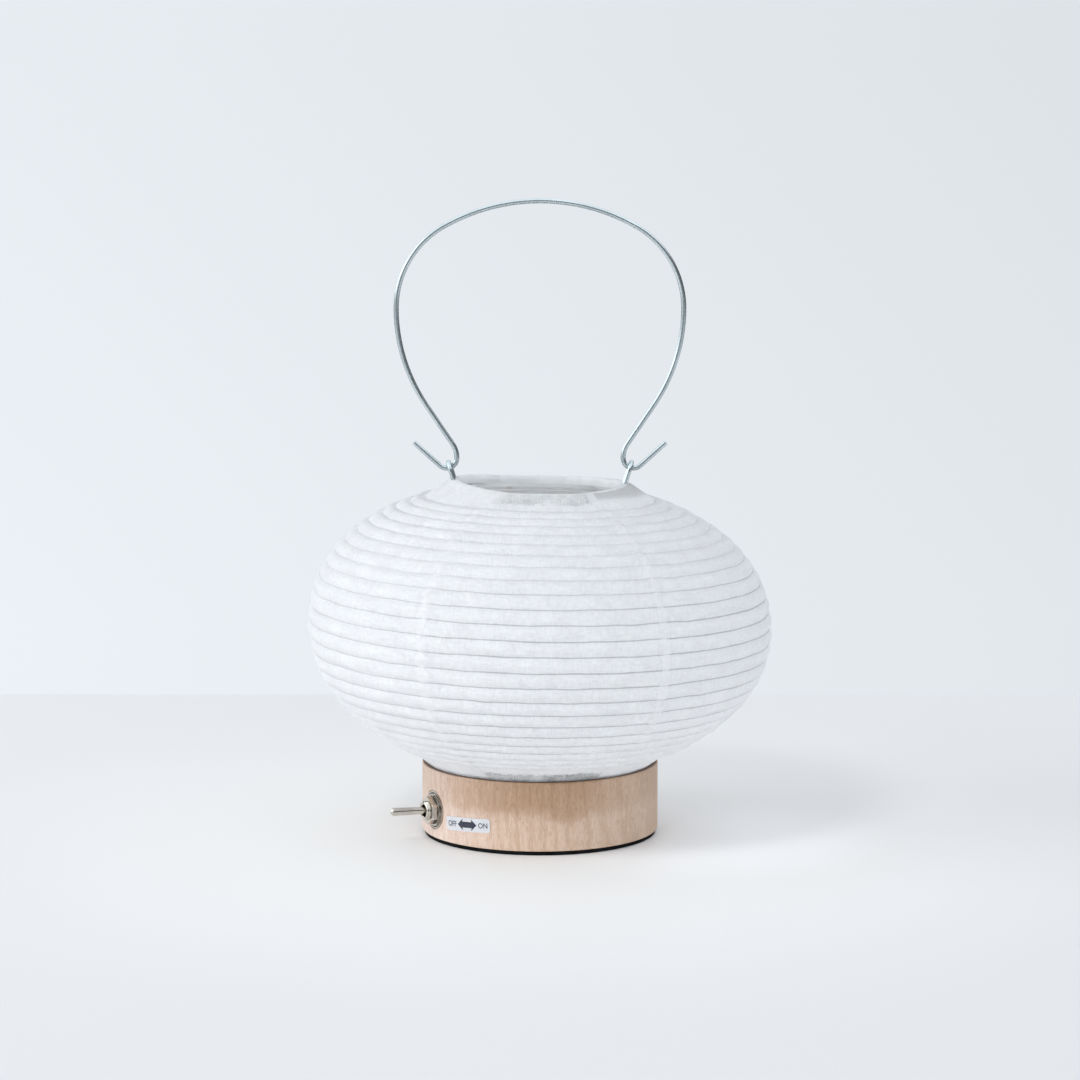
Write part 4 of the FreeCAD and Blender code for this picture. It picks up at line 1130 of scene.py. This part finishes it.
def table():
    """A pale table with its far edge in view, with painted shade towards the front and painted
    light round the lamp and beside it on the right.
    """
    take(None)
    bpy.ops.mesh.primitive_plane_add(size=1.0)
    floor = named("floor")
    floor.scale = (TABLE_W, TABLE_D, 1.0)
    floor.location = (0, TABLE_EDGE_Y - TABLE_D / 2, 0)
    put_down(floor)
    made, tree, shader = finish("table_top", Specular_IOR_Level=0.15)
    place = object_place(tree)
    slow = noise(tree, place, 3.0, 2.0)
    # Painted shade: darker towards the front
    back = remap(tree, parts_of(tree, place)["Y"], -0.6, 0.25)
    top = blend(tree, back, rgb(0.625, 0.625, 0.63), rgb(0.70, 0.70, 0.702))
    # Painted light: paler round the lamp, where its shadow falls
    far = add(tree, "VectorMath", {0: place}, operation="LENGTH").outputs["Value"]
    painted_light_round_lamp = remap(tree, far, 0.04, 0.24, 1.0, 0.0)
    top = blend(tree, painted_light_round_lamp, top, rgb(0.776, 0.772, 0.758))
    # Painted light beside the lamp on the right, where its shadow falls
    right = {0: place, 1: (0.05, -0.012, 0.0)}
    painted_light_beside = add(tree, "VectorMath", right, operation="DISTANCE").outputs["Value"]
    top = blend(tree, remap(tree, painted_light_beside, 0.015, 0.07, 1.0, 0.0), top, rgb(0.88, 0.88, 0.88))
    top = blend(tree, times(tree, slow, 0.1), top, rgb(0.8, 0.8, 0.8))
    feed(tree, shader, Base_Color=top, Roughness=remap(tree, slow, 0.3, 0.7, 0.4, 0.5))
    floor.data.materials.append(made)


def room_light():
    """Light all round: a level for the wall in view, one for what mirrors, one for the rest."""
    world = bpy.data.worlds.new("studio")
    bpy.context.scene.world = world
    world.use_nodes = True
    tree = world.node_tree
    tree.nodes.clear()
    way = parts_of(tree, add(tree, "TexCoord").outputs["Generated"])
    seen = times(tree, remap(tree, way["X"], -0.2, 0.2, 1.08, 0.96, False),
                 remap(tree, way["Z"], -0.15, 0.02, 1.005, 0.962, False))
    near = times(tree, remap(tree, way["Y"], 0.15, 0.65, 1.0, 0.1),
                 remap(tree, way["Z"], 0.0, 0.5, 1.0, 0.0))
    sides = times(tree, remap(tree, way["X"], -1.0, 1.0, 1.05, 1.15, False),
                  remap(tree, way["Z"], 0.5, 0.9, 1.0, 1.1))
    even = times(tree, sides, plus(tree, times(tree, near, 2.1), 0.94))
    window = times(tree, remap(tree, way["X"], -0.75, -0.5, 2.6, 0.0),
                   remap(tree, way["Z"], 0.0, 0.15))
    ceiling = remap(tree, way["Z"], 0.4, 0.65, 0.0, 1.6)
    wall = remap(tree, way["Y"], 0.5, 0.9, 0.1, 0.8)
    room = work(tree, "MAXIMUM", work(tree, "MAXIMUM", window, ceiling), wall)
    rays = add(tree, "LightPath").outputs
    level = even
    for kind, other in (("Is Glossy Ray", room), ("Is Camera Ray", seen)):
        level = add(tree, "Mix", {0: rays[kind], 2: level, 3: other}, data_type="FLOAT").outputs[0]
    sky = add(tree, "Background", {"Color": SKY, "Strength": level})
    out = add(tree, "OutputWorld")
    tree.links.new(sky.outputs[0], out.inputs["Surface"])


def lamps():
    """Two soft lamps at the left, and a card on the table that throws light up under the shade."""
    for name, place, size, power, tint in LAMPS:
        lamp = bpy.data.lights.new(name, "AREA")
        lamp.size, lamp.energy, lamp.color = size, power, tint
        light = bpy.data.objects.new(name, lamp)
        light.location = place
        aim = LAMP_AIM - Vector(place)
        light.rotation_euler = aim.to_track_quat("-Z", "Y").to_euler()
        light.visible_camera = False
        light.visible_glossy = False
        bpy.context.collection.objects.link(light)


def camera():
    """The photograph's point of view."""
    lens = bpy.data.cameras.new("camera")
    lens.sensor_width = SENSOR_W
    lens.lens = SENSOR_W * FOCAL_PX / PICTURE_PX
    eye = bpy.data.objects.new("camera", lens)
    eye.location = CAMERA_PLACE
    eye.rotation_euler = (math.radians(90 - CAMERA_DIP), 0, 0)
    bpy.context.collection.objects.link(eye)
    bpy.context.scene.camera = eye
    bpy.context.scene.view_settings.view_transform = "Standard"


table()
room_light()
lamps()
camera()
